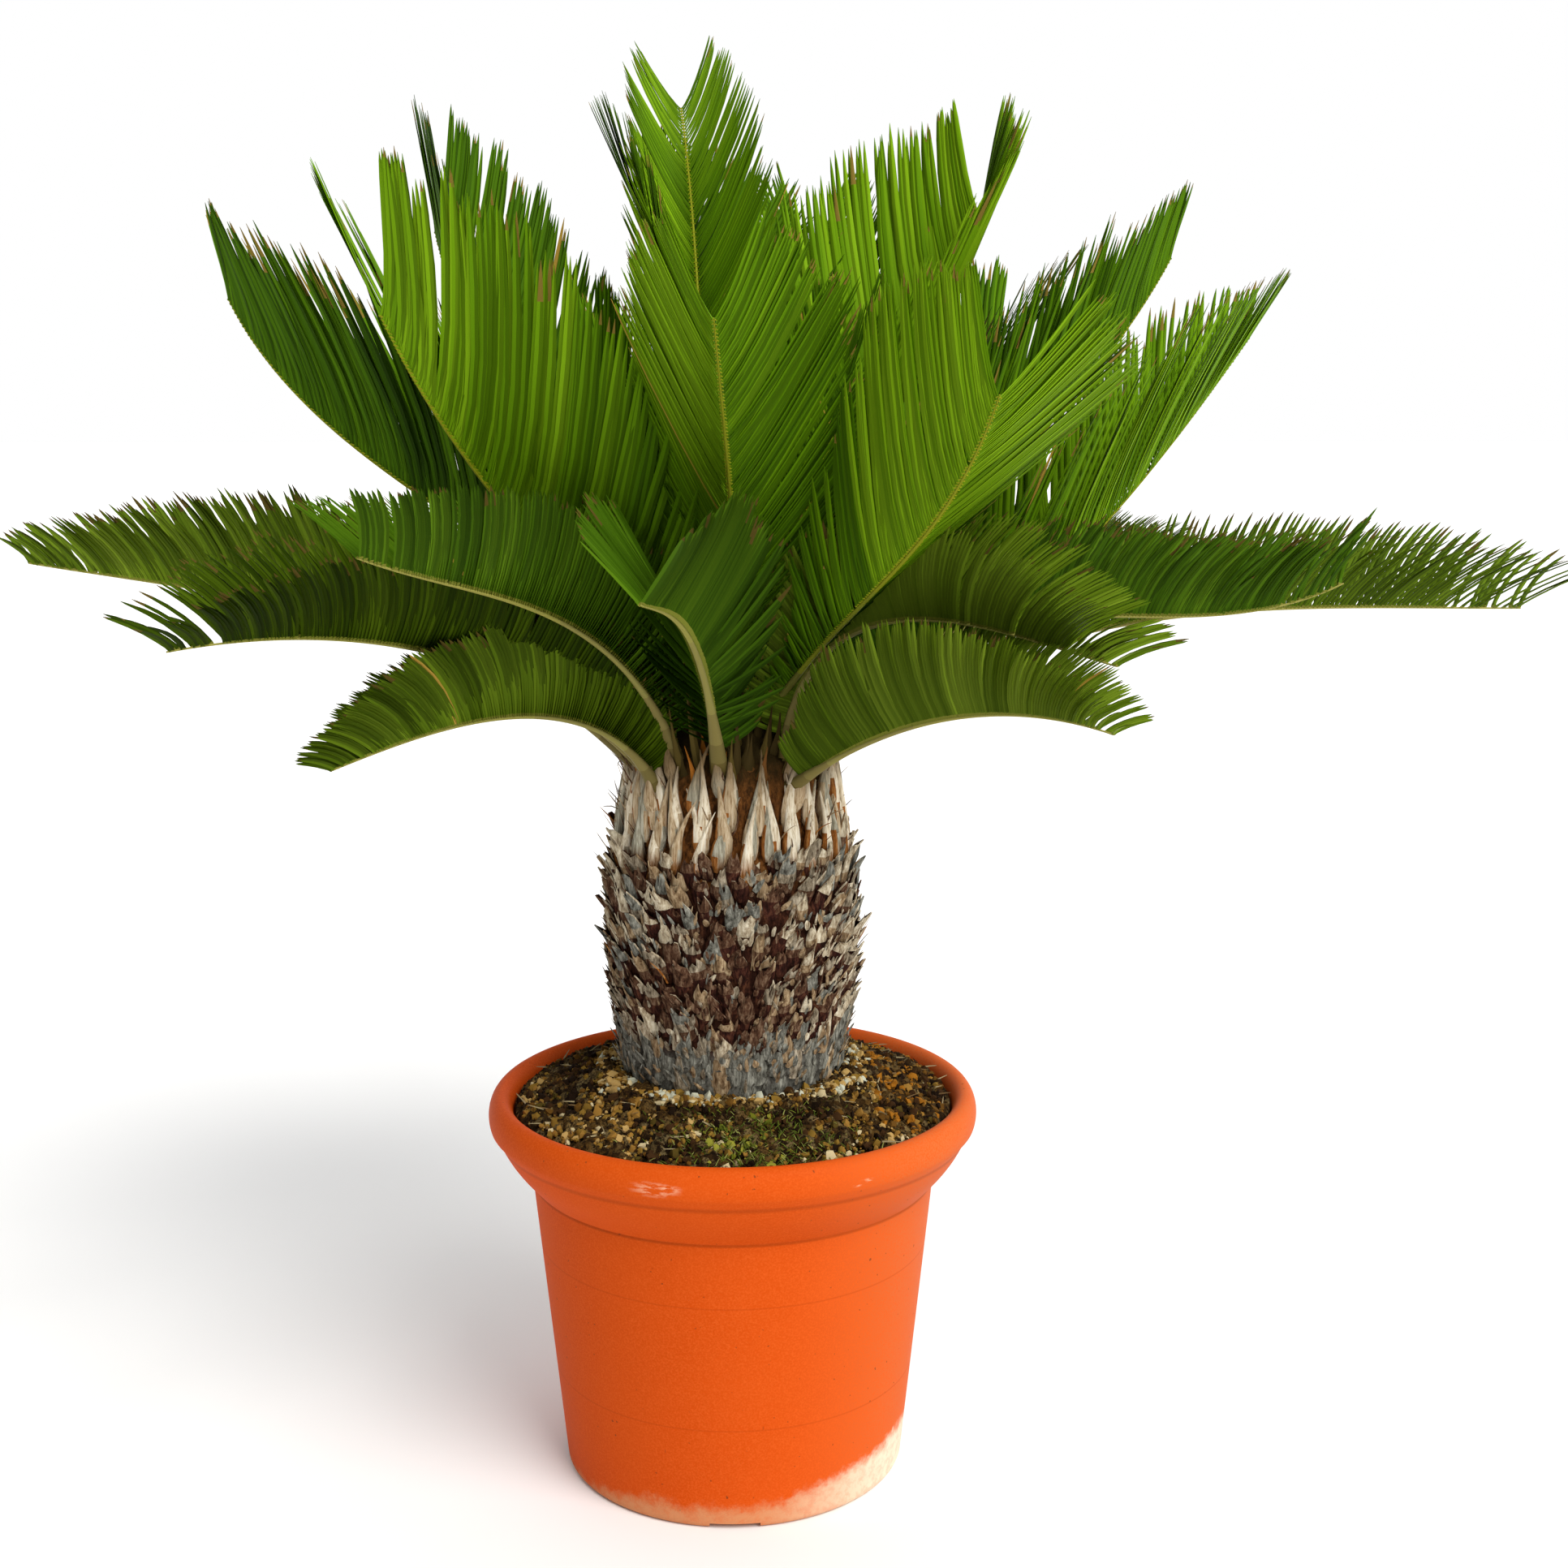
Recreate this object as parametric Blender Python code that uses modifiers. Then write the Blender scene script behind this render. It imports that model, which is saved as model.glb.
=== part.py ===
"""Sago palm in a round plastic pot.

Metres, +Z up. The origin is the centre of the pot's flat underside, and the
plant's best side faces -Y. A stout armoured trunk stands in the filled pot and
carries two tiers of stiff, feather-shaped fronds: a steep upper tier with long
leaflets, and an older lower tier that arches out level with short ones.
"""
import math
import random
from collections import namedtuple

import bmesh
import bpy
from mathutils import Quaternion, Vector
from mathutils.bvhtree import BVHTree

SEED = 11
# Clear space kept between neighbouring solids
GAP = 0.0003

# Pot: a turned shell with a fat rolled rim, a bulging collar and a tapered body
ROUND_STEPS = 48
RIM_RADIUS = 0.150
RIM_LEVEL = 0.2259
BEAD_HALF_WIDTH = 0.0075
BEAD_HALF_HEIGHT = 0.0125
BEAD_ARC_STEPS = 7
BEAD_FOOT = (0.1450, 0.2148)
COLLAR_BULGE = 0.0020
STEP_RADIUS = 0.1251
STEP_LEVEL = 0.1864
STEP_DEPTH = 0.0012
FOOT_RADIUS = 0.1055
FOOT_ROUND = 0.0045
WALL = 0.0040
FLOOR = 0.0050
INNER_LEDGE = 0.0015
NOTCH_COUNT = 4
NOTCH_WIDTH = 0.030
NOTCH_HEIGHT = 0.0036
NOTCH_DEPTH = 0.014

# Soil: fills the pot and mounds up to the flat seat of the trunk
SOIL_EDGE_LEVEL = 0.2330
SOIL_TOP = 0.2540
SEAT_RADIUS = 0.080
MOUND_FOOT_RADIUS = 0.112
MOUND_FOOT_LEVEL = 0.2403
SOIL_EDGE_ROUND = 0.004
SOIL_EDGE_CLEARANCE = 0.0008

# Trunk: barrel outline as (height, radius), with a dome that carries the fronds.
# Every other corner of its grid is a leaf base, which stands proud and rides up.
TRUNK_OUTLINE = (
    (0.2543, 0.0700), (0.2700, 0.0715), (0.2900, 0.0735), (0.3150, 0.0755),
    (0.3400, 0.0758), (0.3600, 0.0750), (0.3800, 0.0718), (0.4000, 0.0672),
    (0.4200, 0.0632),
)
TRUNK_COLUMNS = 40
TRUNK_ROWS = 15
DOME_ROWS = 5
LEAF_BASE_RELIEF = 0.0019
LEAF_BASE_LIFT = 0.0006
DOME_RADIUS = 0.060
DOME_LEVEL = 0.420
DOME_REACH = 84.0

# Frond ribs: half width and thickness at the seat and at the tip
RIB_STATIONS = 48
RIB_HALF_WIDTH = (0.0045, 0.0010)
RIB_THICKNESS = (0.0070, 0.0018)
LEAF_THICKNESS = 0.0014
# A rib's squared foot is seated by the clearance measured at points across it
FOOT_CLEARANCE = 0.00035
FOOT_GRID = (-1.0, -0.5, 0.0, 0.5, 1.0)
SEAT_TRIALS = 6
# Leaflets start at this part of their full length, reach it where the rise ends,
# and fade past the given part of the rib, ever faster
FIRST_LEAF_PART = 0.50
LEAF_RISE = 2.2
FADE_START = 0.5
FADE_POWER = 1.5
# The leaflet on the rib's very end, as a part of its neighbours' length
END_LEAF_PART = 0.7
# A leaflet that would touch a neighbour is tried at these parts of its length
LEAF_TRIALS = (1.0, 0.8, 0.6, 0.42)
LEAF_CLEARANCE = 0.0008
# The clearance tests read every third station of a rib, with room for its edges
RIB_TEST_STEP = 3
RIB_EDGE_ROOM = 0.3
SWING_STEP = 2.0
SWING_TRIALS = 24

# What the fronds of one tier share. Angles are in degrees, each at the foot, middle
# and tip of the blade: sweep is the leaflets' angle to the rib, and keel is how far
# their two rows are folded up from flat.
Tier = namedtuple("Tier", "pairs bare leaf sweep keel colour")
UPPER = Tier(26, 0.08, 0.132, (52, 43, 25), (50, 47, 30), (0.10, 0.28, 0.03))
LOWER = Tier(24, 0.12, 0.064, (78, 68, 40), (60, 60, 50), (0.05, 0.15, 0.02))

# A frond: azimuth round the trunk, seat as the angle down from the dome's top,
# rise as the rib's slope at its foot, middle and tip, length of the rib, the
# turn of its azimuth from foot to tip, its leaflets' size within the tier, the
# part of that size they keep at the rib's end, and the blade's twist round the
# rib, which is full from TWIST_END of the rib's length on.
Frond = namedtuple("Frond", "azimuth seat rise length swing size end twist",
                   defaults=(1.0, 0.6, 0))
TWIST_END = 0.35
UPPER_FRONDS = (
    Frond(12, 52, (17, 40, 46), 0.396, 22, 1.15, 0.35, -11),
    Frond(12, 40, (57, 46, 63), 0.351, -21, 1.09, 0.35, -1),
    Frond(44, 46, (48, 46, 45), 0.298, -1, 1.12, 0.69, -6),
    Frond(37, 26, (82, 54, 80), 0.329, -22, 1.37, 0.42, 11),
    Frond(65, 42, (60, 63, 56), 0.330, 22, 0.95, 0.52, 2),
    Frond(105, 22, (69, 76, 40), 0.396, -8, 0.77, 0.64, -5),
    Frond(106, 42, (72, 76, 52), 0.333, 20, 1.15, 0.47, 18),
    Frond(148, 30, (34, 61, 77), 0.337, 21, 1.2, 0.57, -3),
    Frond(198, 46, (70, 35, 66), 0.347, 1, 1.21, 0.35, -3),
    Frond(224, 38, (49, 46, 64), 0.304, -8, 1.27, 0.53, 2),
    Frond(272, 30, (56, 39, 50), 0.320, -8, 1.0, 0.47, -6),
    Frond(302, 36, (46, 29, 47), 0.332, -19, 1.13, 0.47, -18),
    Frond(258, 8, (84, 80, 74), 0.200, 0, 0.75, 0.7),
    Frond(322, 15, (76, 68, 72), 0.200, 0, 0.75, 0.7),
    Frond(200, 15, (76, 68, 72), 0.200, 0, 0.75, 0.7),
)
LOWER_FRONDS = (
    Frond(5, 66, (39, 6, -1), 0.465, 6, 0.93, 0.99, 6),
    Frond(347, 64, (80, 3, 28), 0.338, 9, 1.09, 0.82, -2),
    Frond(306, 76, (30, 16, -11), 0.247, 10, 1.03, 0.35),
    Frond(306, 60, (90, 9, -12), 0.267, 22, 1.13, 0.57),
    Frond(263, 66, (56, 18, 8), 0.336, 2, 1.2, 0.7),
    Frond(233, 60, (65, 20, 17), 0.303, 8, 1.05, 0.7, 6),
    Frond(224, 78, (61, 3, -19), 0.219, -22, 1.34, 0.38, 13),
    Frond(218, 72, (45, 17, -5), 0.325, 6, 1.15, 0.52, -10),
    Frond(189, 70, (46, 16, 10), 0.369, -5, 1.29, 0.35),
)
# The far side of the lower tier is filled evenly with its typical frond, and each
# one differs from it by up to these amounts
FAR_LOWER = (22, 42, 63, 85, 107, 129, 152)
FAR_LOWER_RIB = Frond(0, 68, (54, 8, 4), 0.38, 0)
RISE_SPREAD = 6
AZIMUTH_SPREAD = 3
SEAT_SPREAD = 4
LENGTH_SPREAD = (0.92, 1.06)
SWING_SPREAD = 6


def clear_scene():
    for old in list(bpy.data.objects):
        bpy.data.objects.remove(old, do_unlink=True)


def new_collection(name):
    collection = bpy.data.collections.new(name)
    bpy.context.scene.collection.children.link(collection)
    return collection


def plain_material(name, colour, roughness, metallic=0.0):
    material = bpy.data.materials.new(name)
    material.use_nodes = True
    shader = material.node_tree.nodes["Principled BSDF"]
    shader.inputs["Base Color"].default_value = (*colour, 1.0)
    shader.inputs["Roughness"].default_value = roughness
    shader.inputs["Metallic"].default_value = metallic
    return material


def add_object(name, mesh, collection, material=None):
    obj = bpy.data.objects.new(name, mesh)
    collection.objects.link(obj)
    if material:
        mesh.materials.append(material)
    return obj


def turned(name, profile, collection, material):
    """A solid of revolution about Z from (radius, height) points, outer side running down."""
    mesh = bpy.data.meshes.new(name)
    points = [(radius, 0.0, height) for radius, height in profile]
    mesh.from_pydata(points, [(i, i + 1) for i in range(len(points) - 1)], [])
    obj = add_object(name, mesh, collection, material)
    screw = obj.modifiers.new("Turn", "SCREW")
    screw.steps = ROUND_STEPS
    screw.render_steps = ROUND_STEPS
    screw.use_merge_vertices = True
    screw.merge_threshold = 0.00005
    screw.use_smooth_shade = True
    return obj


def arc(centre, half_width, half_height, start, end, steps):
    """Points on an upright ellipse, from one angle in degrees to another."""
    points = []
    for i in range(steps + 1):
        angle = math.radians(start + (end - start) * i / steps)
        points.append((centre[0] + half_width * math.cos(angle),
                       centre[1] + half_height * math.sin(angle)))
    return points


def bead_centre():
    return (RIM_RADIUS - BEAD_HALF_WIDTH, RIM_LEVEL)


def inner_wall():
    """The pot's inner side, from the floor up to the inside of the bead."""
    bead_inside = RIM_RADIUS - 2 * BEAD_HALF_WIDTH
    return [
        (FOOT_RADIUS - WALL, FLOOR),
        (STEP_RADIUS - STEP_DEPTH - WALL, STEP_LEVEL - WALL),
        (bead_inside - INNER_LEDGE, BEAD_FOOT[1] - WALL),
    ]


def make_pot(collection, cutters):
    collar = []
    for i in (1, 2, 3):
        part = i / 4
        swell = COLLAR_BULGE * math.sin(math.pi * part)
        collar.append((BEAD_FOOT[0] + (STEP_RADIUS - BEAD_FOOT[0]) * part + swell,
                       BEAD_FOOT[1] + (STEP_LEVEL - BEAD_FOOT[1]) * part))
    foot = arc((FOOT_RADIUS - FOOT_ROUND, FOOT_ROUND), FOOT_ROUND, FOOT_ROUND, 0, -90, 3)
    profile = (
        [(0.0, FLOOR)] + inner_wall()
        + arc(bead_centre(), BEAD_HALF_WIDTH, BEAD_HALF_HEIGHT, 180, -30, BEAD_ARC_STEPS)
        + [BEAD_FOOT] + collar
        + [(STEP_RADIUS, STEP_LEVEL), (STEP_RADIUS - STEP_DEPTH, STEP_LEVEL - STEP_DEPTH)]
        + foot + [(0.0, 0.0)]
    )
    material = plain_material("terracotta_plastic", (0.80, 0.17, 0.03), 0.5)
    pot = turned("pot", profile, collection, material)
    for i in range(NOTCH_COUNT):
        angle = -math.pi / 2 + 2 * math.pi * i / NOTCH_COUNT
        out = Vector((math.cos(angle), math.sin(angle), 0.0))
        bpy.ops.mesh.primitive_cube_add(size=1.0, location=out * FOOT_RADIUS,
                                        rotation=(0.0, 0.0, angle))
        cutter = bpy.context.object
        cutter.name = "notch_cutter_%d" % (i + 1)
        cutter.scale = (2 * NOTCH_DEPTH, NOTCH_WIDTH, 2 * NOTCH_HEIGHT)
        cutter.hide_render = True
        cutter.display_type = "WIRE"
        for other in list(cutter.users_collection):
            other.objects.unlink(cutter)
        cutters.objects.link(cutter)
    cut = pot.modifiers.new("Foot notches", "BOOLEAN")
    cut.operation = "DIFFERENCE"
    cut.operand_type = "COLLECTION"
    cut.collection = cutters
    return pot


def make_soil(collection):
    wall = [(radius - GAP, height) for radius, height in inner_wall()]
    wall[0] = (wall[0][0], FLOOR + GAP)
    edge_radius = RIM_RADIUS - 2 * BEAD_HALF_WIDTH - GAP - SOIL_EDGE_CLEARANCE
    profile = [
        (0.0, SOIL_TOP), (SEAT_RADIUS, SOIL_TOP), (MOUND_FOOT_RADIUS, MOUND_FOOT_LEVEL),
        (edge_radius - SOIL_EDGE_ROUND, SOIL_EDGE_LEVEL),
        (edge_radius, SOIL_EDGE_LEVEL - SOIL_EDGE_ROUND), (edge_radius, BEAD_FOOT[1] + WALL),
    ]
    profile += list(reversed(wall)) + [(0.0, FLOOR + GAP)]
    return turned("soil", profile, collection, plain_material("soil", (0.06, 0.045, 0.03), 0.95))


def trunk_radius(height):
    points = TRUNK_OUTLINE
    for (z0, r0), (z1, r1) in zip(points, points[1:]):
        if height <= z1:
            return r0 + (r1 - r0) * (height - z0) / (z1 - z0)
    return points[-1][1]


def make_trunk(collection):
    """A rolled-up grid: alternate corners stand proud as leaf bases, and a dome closes it."""
    rows = TRUNK_ROWS + DOME_ROWS
    bm = bmesh.new()
    bmesh.ops.create_grid(bm, x_segments=TRUNK_COLUMNS, y_segments=rows, size=1.0)
    low_z, high_z = TRUNK_OUTLINE[0][0], TRUNK_OUTLINE[-1][0]
    low = set()
    for vert in bm.verts:
        column = round((vert.co.x + 1.0) / 2.0 * TRUNK_COLUMNS)
        row = round((vert.co.y + 1.0) / 2.0 * rows)
        angle = 2 * math.pi * column / TRUNK_COLUMNS
        if row <= TRUNK_ROWS:
            height = low_z + (high_z - low_z) * row / TRUNK_ROWS
            radius = trunk_radius(height)
            proud = (column + row) % 2 == 0
            if 0 < row < TRUNK_ROWS:
                radius += LEAF_BASE_RELIEF if proud else -LEAF_BASE_RELIEF
                height += LEAF_BASE_LIFT if proud else 0.0
            if not proud:
                low.add(vert)
        else:
            polar = math.radians(DOME_REACH * (1.0 - (row - TRUNK_ROWS) / DOME_ROWS))
            radius = DOME_RADIUS * math.sin(polar)
            height = DOME_LEVEL + DOME_RADIUS * math.cos(polar)
        vert.co = Vector((radius * math.cos(angle), radius * math.sin(angle), height))
    for face in list(bm.faces):
        hollows = [vert for vert in face.verts if vert in low]
        if len(hollows) == 2 and len(face.verts) == 4:
            bmesh.utils.face_split(face, hollows[0], hollows[1])
    bmesh.ops.remove_doubles(bm, verts=bm.verts, dist=0.00002)
    bmesh.ops.holes_fill(bm, edges=[edge for edge in bm.edges if edge.is_boundary])
    bmesh.ops.recalc_face_normals(bm, faces=bm.faces)
    mesh = bpy.data.meshes.new("trunk")
    bm.to_mesh(mesh)
    bm.free()
    mesh.shade_smooth()
    mesh.set_sharp_from_angle(angle=math.radians(35))
    return add_object("trunk", mesh, collection, plain_material("bark", (0.28, 0.20, 0.15), 0.9))


def between(ends, part):
    return ends[0] + (ends[1] - ends[0]) * part


def through(three, part):
    """A smooth value that passes through three given ones at 0, a half and 1."""
    first, middle, last = three
    return (first * (1 - part) * (1 - 2 * part) + middle * 4 * part * (1 - part)
            + last * part * (2 * part - 1))


def rib_line(frond):
    """Stations along a frond's rib: part of the length, centre, along, side and upper normal."""
    azimuth = math.radians(frond.azimuth)
    seat = math.radians(frond.seat)
    normal = Vector((math.sin(seat) * math.cos(azimuth), math.sin(seat) * math.sin(azimuth),
                     math.cos(seat)))
    centre = Vector((0.0, 0.0, DOME_LEVEL)) + normal * (DOME_RADIUS + RIB_THICKNESS[0])
    step = frond.length / RIB_STATIONS
    line = []
    for i in range(RIB_STATIONS + 1):
        part = i / RIB_STATIONS
        turn = math.radians(frond.azimuth + frond.swing * part)
        slope = math.radians(through(frond.rise, part))
        along = Vector((math.cos(slope) * math.cos(turn), math.cos(slope) * math.sin(turn),
                        math.sin(slope)))
        side = Vector((-math.sin(turn), math.cos(turn), 0.0))
        side.rotate(Quaternion(along, math.radians(frond.twist) * min(1.0, part / TWIST_END)))
        if i:
            centre = centre + (along + previous) / 2 * step
        previous = along
        line.append((part, centre.copy(), along, side, along.cross(side)))
    return line


def seated(line, trunk_tree):
    """Sink a frond towards the dome's centre until its squared foot is just clear of it."""
    foot, along, side, normal = line[0][1:]
    down = (Vector((0.0, 0.0, DOME_LEVEL)) - foot).normalized()
    points = []
    for up in FOOT_GRID:
        for across in FOOT_GRID:
            points.append(foot + side * (across * RIB_HALF_WIDTH[0])
                          + normal * (up * RIB_THICKNESS[0] / 2))
    sunk = 0.0
    for trial in range(SEAT_TRIALS):
        nearest = min(trunk_tree.find_nearest(point + down * sunk)[3] for point in points)
        sunk += nearest - FOOT_CLEARANCE
    return [(part, centre + down * sunk, *axes) for part, centre, *axes in line]


def station(line, part):
    """The rib at any part of its length, read between the stations."""
    place = min(part, 1.0) * RIB_STATIONS
    index = min(int(place), RIB_STATIONS - 1)
    rest = place - index
    here, there = line[index], line[index + 1]
    mixed = [a.lerp(b, rest) for a, b in zip(here[1:], there[1:])]
    return [part, mixed[0]] + [vector.normalized() for vector in mixed[1:]]


def rib_solid(line, spare):
    """A plain box chain round the rib, a little fat, for the clearance tests."""
    points, faces = [], []
    for part, centre, along, side, normal in line[::RIB_TEST_STEP]:
        thickness = between(RIB_THICKNESS, part)
        across = side * (between(RIB_HALF_WIDTH, part) + RIB_EDGE_ROOM * thickness + spare)
        up = normal * (thickness / 2 + spare)
        points += [centre + across + up, centre - across + up,
                   centre - across - up, centre + across - up]
    last = len(points) - 4
    for first in range(0, last, 4):
        for i in range(4):
            j = (i + 1) % 4
            faces.append((first + i, first + j, first + 4 + j, first + 4 + i))
    faces += [(0, 1, 2, 3), (last, last + 1, last + 2, last + 3)]
    return points, faces


def tree_of(solids):
    points, faces = [], []
    for solid_points, solid_faces in solids:
        base = len(points)
        points += solid_points
        faces += [tuple(base + i for i in face) for face in solid_faces]
    return BVHTree.FromPolygons(points, faces)


def solid_of(obj):
    """An object's finished mesh as points and faces."""
    mesh = obj.evaluated_get(bpy.context.evaluated_depsgraph_get()).to_mesh()
    points = [vert.co.copy() for vert in mesh.vertices]
    faces = [tuple(face.vertices) for face in mesh.polygons]
    return points, faces


def leaf_length(tier, frond, part):
    """Leaflet length along the bladed part of the rib: half at its foot, full, then fading."""
    grown = min(1.0, FIRST_LEAF_PART + LEAF_RISE * part)
    fading = max(0.0, (part - FADE_START) / (1.0 - FADE_START)) ** FADE_POWER
    return tier.leaf * frond.size * grown * (1.0 - (1.0 - frond.end) * fading)


def leaf_direction(tier, part, hand, along, side, normal):
    sweep = math.radians(through(tier.sweep, part))
    keel = math.radians(through(tier.keel, part))
    outward = side * (hand * math.cos(keel)) + normal * math.sin(keel)
    return along * math.cos(sweep) + outward * math.sin(sweep)


def leaf_wedge(root_a, root_b, tip, root_thickness):
    """A leaflet as a slightly fat wedge, as thick as the rib at its foot, for the clearance tests."""
    middle = (root_a + root_b) / 2
    end = tip + (tip - middle).normalized() * LEAF_CLEARANCE
    plate = (root_b - root_a).cross(tip - root_a).normalized()
    at_root = plate * (root_thickness / 2 + LEAF_CLEARANCE)
    at_tip = plate * (LEAF_THICKNESS / 2 + LEAF_CLEARANCE)
    points = [root_a + at_root, root_b + at_root, end + at_tip,
              root_a - at_root, root_b - at_root, end - at_tip]
    faces = [(0, 1, 2), (3, 4, 5), (0, 1, 4, 3), (1, 2, 5, 4), (2, 0, 3, 5)]
    return points, faces


def clear_leaves(leaves, obstacles):
    """Give each leaflet the greatest part of its length that touches nothing, or drop it."""
    waiting = dict(leaves)
    kept = {}
    for trial in LEAF_TRIALS:
        keys = list(waiting)
        if not keys:
            break
        wedges = []
        for key in keys:
            root_a, root_b, reach, thickness = waiting[key]
            tip = (root_a + root_b) / 2 + reach * trial
            wedges.append(leaf_wedge(root_a, root_b, tip, thickness))
        struck = {pair[0] // 5 for pair in tree_of(wedges).overlap(obstacles)}
        for index, key in enumerate(keys):
            if index not in struck:
                root_a, root_b, reach, thickness = waiting.pop(key)
                kept[key] = (root_a + root_b) / 2 + reach * trial
    return kept


def make_frond(name, tier, frond, line, obstacles, collection, material):
    """A toothed sheet along the rib, one tooth a leaflet, thickened most at the rib."""
    stations = [station(line, 0.0), station(line, tier.bare / 2)]
    for i in range(tier.pairs + 1):
        stations.append(station(line, tier.bare + (1.0 - tier.bare) * i / tier.pairs))
    bm = bmesh.new()
    weights = {}
    edges = {1: [], -1: []}
    for part, centre, along, side, normal in stations:
        for hand in (1, -1):
            vert = bm.verts.new(centre + side * (hand * between(RIB_HALF_WIDTH, part)))
            edges[hand].append(vert)
            weights[vert] = between(RIB_THICKNESS, part)
    leaves = {}
    for i in range(2, len(stations) - 1):
        bladed = (i - 1.5) / tier.pairs
        here = station(line, (stations[i][0] + stations[i + 1][0]) / 2)
        for hand in (1, -1):
            root_a, root_b = edges[hand][i].co.copy(), edges[hand][i + 1].co.copy()
            reach = leaf_direction(tier, bladed, hand, *here[2:]) * leaf_length(tier, frond, bladed)
            leaves[(i, hand)] = (root_a, root_b, reach, between(RIB_THICKNESS, here[0]))
    end_reach = stations[-1][2] * (leaf_length(tier, frond, 1.0) * END_LEAF_PART)
    leaves["end"] = (edges[1][-1].co.copy(), edges[-1][-1].co.copy(), end_reach,
                     RIB_THICKNESS[1])
    tips = clear_leaves(leaves, obstacles)
    for i in range(len(stations) - 1):
        left, right = edges[1], edges[-1]
        bm.faces.new((left[i], right[i], right[i + 1], left[i + 1]))
        for hand in (1, -1):
            if (i, hand) in tips:
                tip = bm.verts.new(tips[(i, hand)])
                weights[tip] = LEAF_THICKNESS
                bm.faces.new((edges[hand][i], edges[hand][i + 1], tip))
    if "end" in tips:
        end = bm.verts.new(tips["end"])
        weights[end] = LEAF_THICKNESS
        bm.faces.new((edges[1][-1], edges[-1][-1], end))
    bmesh.ops.recalc_face_normals(bm, faces=bm.faces)
    bm.verts.index_update()
    order = [weights[vert] for vert in bm.verts]
    mesh = bpy.data.meshes.new(name)
    bm.to_mesh(mesh)
    bm.free()
    obj = add_object(name, mesh, collection, material)
    group = obj.vertex_groups.new(name="thickness")
    for index, thickness in enumerate(order):
        group.add([index], thickness / RIB_THICKNESS[0], "REPLACE")
    body = obj.modifiers.new("Body", "SOLIDIFY")
    body.thickness = RIB_THICKNESS[0]
    body.offset = 0.0
    body.vertex_group = group.name
    body.thickness_vertex_group = 0.0
    body.use_quality_normals = True
    return obj


def far_fronds(azimuths, typical, draw):
    """Fronds of the far side, each a little unlike the last."""
    fronds = []
    for azimuth in azimuths:
        lift = draw.uniform(-RISE_SPREAD, RISE_SPREAD)
        rise = tuple(value + lift for value in typical.rise)
        turned_azimuth = azimuth + draw.uniform(-AZIMUTH_SPREAD, AZIMUTH_SPREAD)
        seat = typical.seat + draw.uniform(-SEAT_SPREAD, SEAT_SPREAD)
        length = typical.length * draw.uniform(*LENGTH_SPREAD)
        swing = draw.uniform(-SWING_SPREAD, SWING_SPREAD)
        fronds.append(Frond(turned_azimuth, seat, rise, length, swing))
    return fronds


def clear_ribs(rows, trunk_solid):
    """Swing each rib aside in small steps until it stands clear of those before it."""
    placed = []
    trunk_tree = tree_of([trunk_solid])
    for name, tier, frond in rows:
        for trial in range(SWING_TRIALS):
            aside = SWING_STEP * ((trial + 1) // 2) * (1 if trial % 2 else -1)
            moved = frond._replace(azimuth=frond.azimuth + aside)
            line = seated(rib_line(moved), trunk_tree)
            tree = tree_of([rib_solid(line[2:], GAP)])
            earlier = [rib_solid(other[-1], GAP) for other in placed]
            if not tree.overlap(tree_of([trunk_solid] + earlier)):
                break
        placed.append((name, tier, moved, line))
    return placed


def make_fronds(collection, trunk):
    draw = random.Random(SEED)
    lower = list(LOWER_FRONDS) + far_fronds(FAR_LOWER, FAR_LOWER_RIB, draw)
    rows = [("upper_frond_%02d" % (i + 1), UPPER, frond) for i, frond in enumerate(UPPER_FRONDS)]
    rows += [("lower_frond_%02d" % (i + 1), LOWER, frond) for i, frond in enumerate(lower)]
    bright = plain_material("young_frond", UPPER.colour, 0.5)
    dark = plain_material("old_frond", LOWER.colour, 0.55)
    bpy.context.view_layer.update()
    trunk_solid = solid_of(trunk)
    placed = clear_ribs(rows, trunk_solid)
    ribs = {name: rib_solid(line, 0.0) for name, tier, frond, line in placed}
    finished = []
    for name, tier, frond, line in placed:
        others = [solid for other, solid in ribs.items() if other != name]
        obstacles = tree_of([trunk_solid] + others + finished)
        material = bright if tier is UPPER else dark
        obj = make_frond(name, tier, frond, line, obstacles, collection, material)
        bpy.context.view_layer.update()
        finished.append(solid_of(obj))


def main():
    clear_scene()
    palm = new_collection("sago_palm")
    cutters = new_collection("cutters")
    make_pot(palm, cutters)
    make_soil(palm)
    trunk = make_trunk(palm)
    make_fronds(palm, trunk)


main()
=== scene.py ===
"""Sago palm in a round plastic pot: the looks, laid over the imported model.

Metres, +Z up, the origin at the centre of the pot's flat underside. The plant's
best side faces -Y, where the camera stands. Fronds, trunk, soil and pot are made
again here by the rules of the part's source, and carried to finer detail.
"""
import math
import random
from collections import namedtuple

import bmesh
import bpy
import numpy as np
from mathutils import Matrix, Vector, noise


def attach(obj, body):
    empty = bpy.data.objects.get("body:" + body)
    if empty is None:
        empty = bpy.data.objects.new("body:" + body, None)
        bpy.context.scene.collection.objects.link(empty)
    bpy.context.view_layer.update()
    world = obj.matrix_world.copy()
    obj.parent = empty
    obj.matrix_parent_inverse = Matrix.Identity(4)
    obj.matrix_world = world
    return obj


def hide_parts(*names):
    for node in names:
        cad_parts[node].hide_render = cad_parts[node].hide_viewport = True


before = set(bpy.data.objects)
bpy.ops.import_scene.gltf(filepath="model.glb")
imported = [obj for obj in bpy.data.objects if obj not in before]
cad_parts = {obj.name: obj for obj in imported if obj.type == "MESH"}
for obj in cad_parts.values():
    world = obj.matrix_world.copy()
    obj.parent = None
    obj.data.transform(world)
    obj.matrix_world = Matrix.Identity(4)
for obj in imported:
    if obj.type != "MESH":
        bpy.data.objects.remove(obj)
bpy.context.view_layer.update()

SEED = 11

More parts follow.
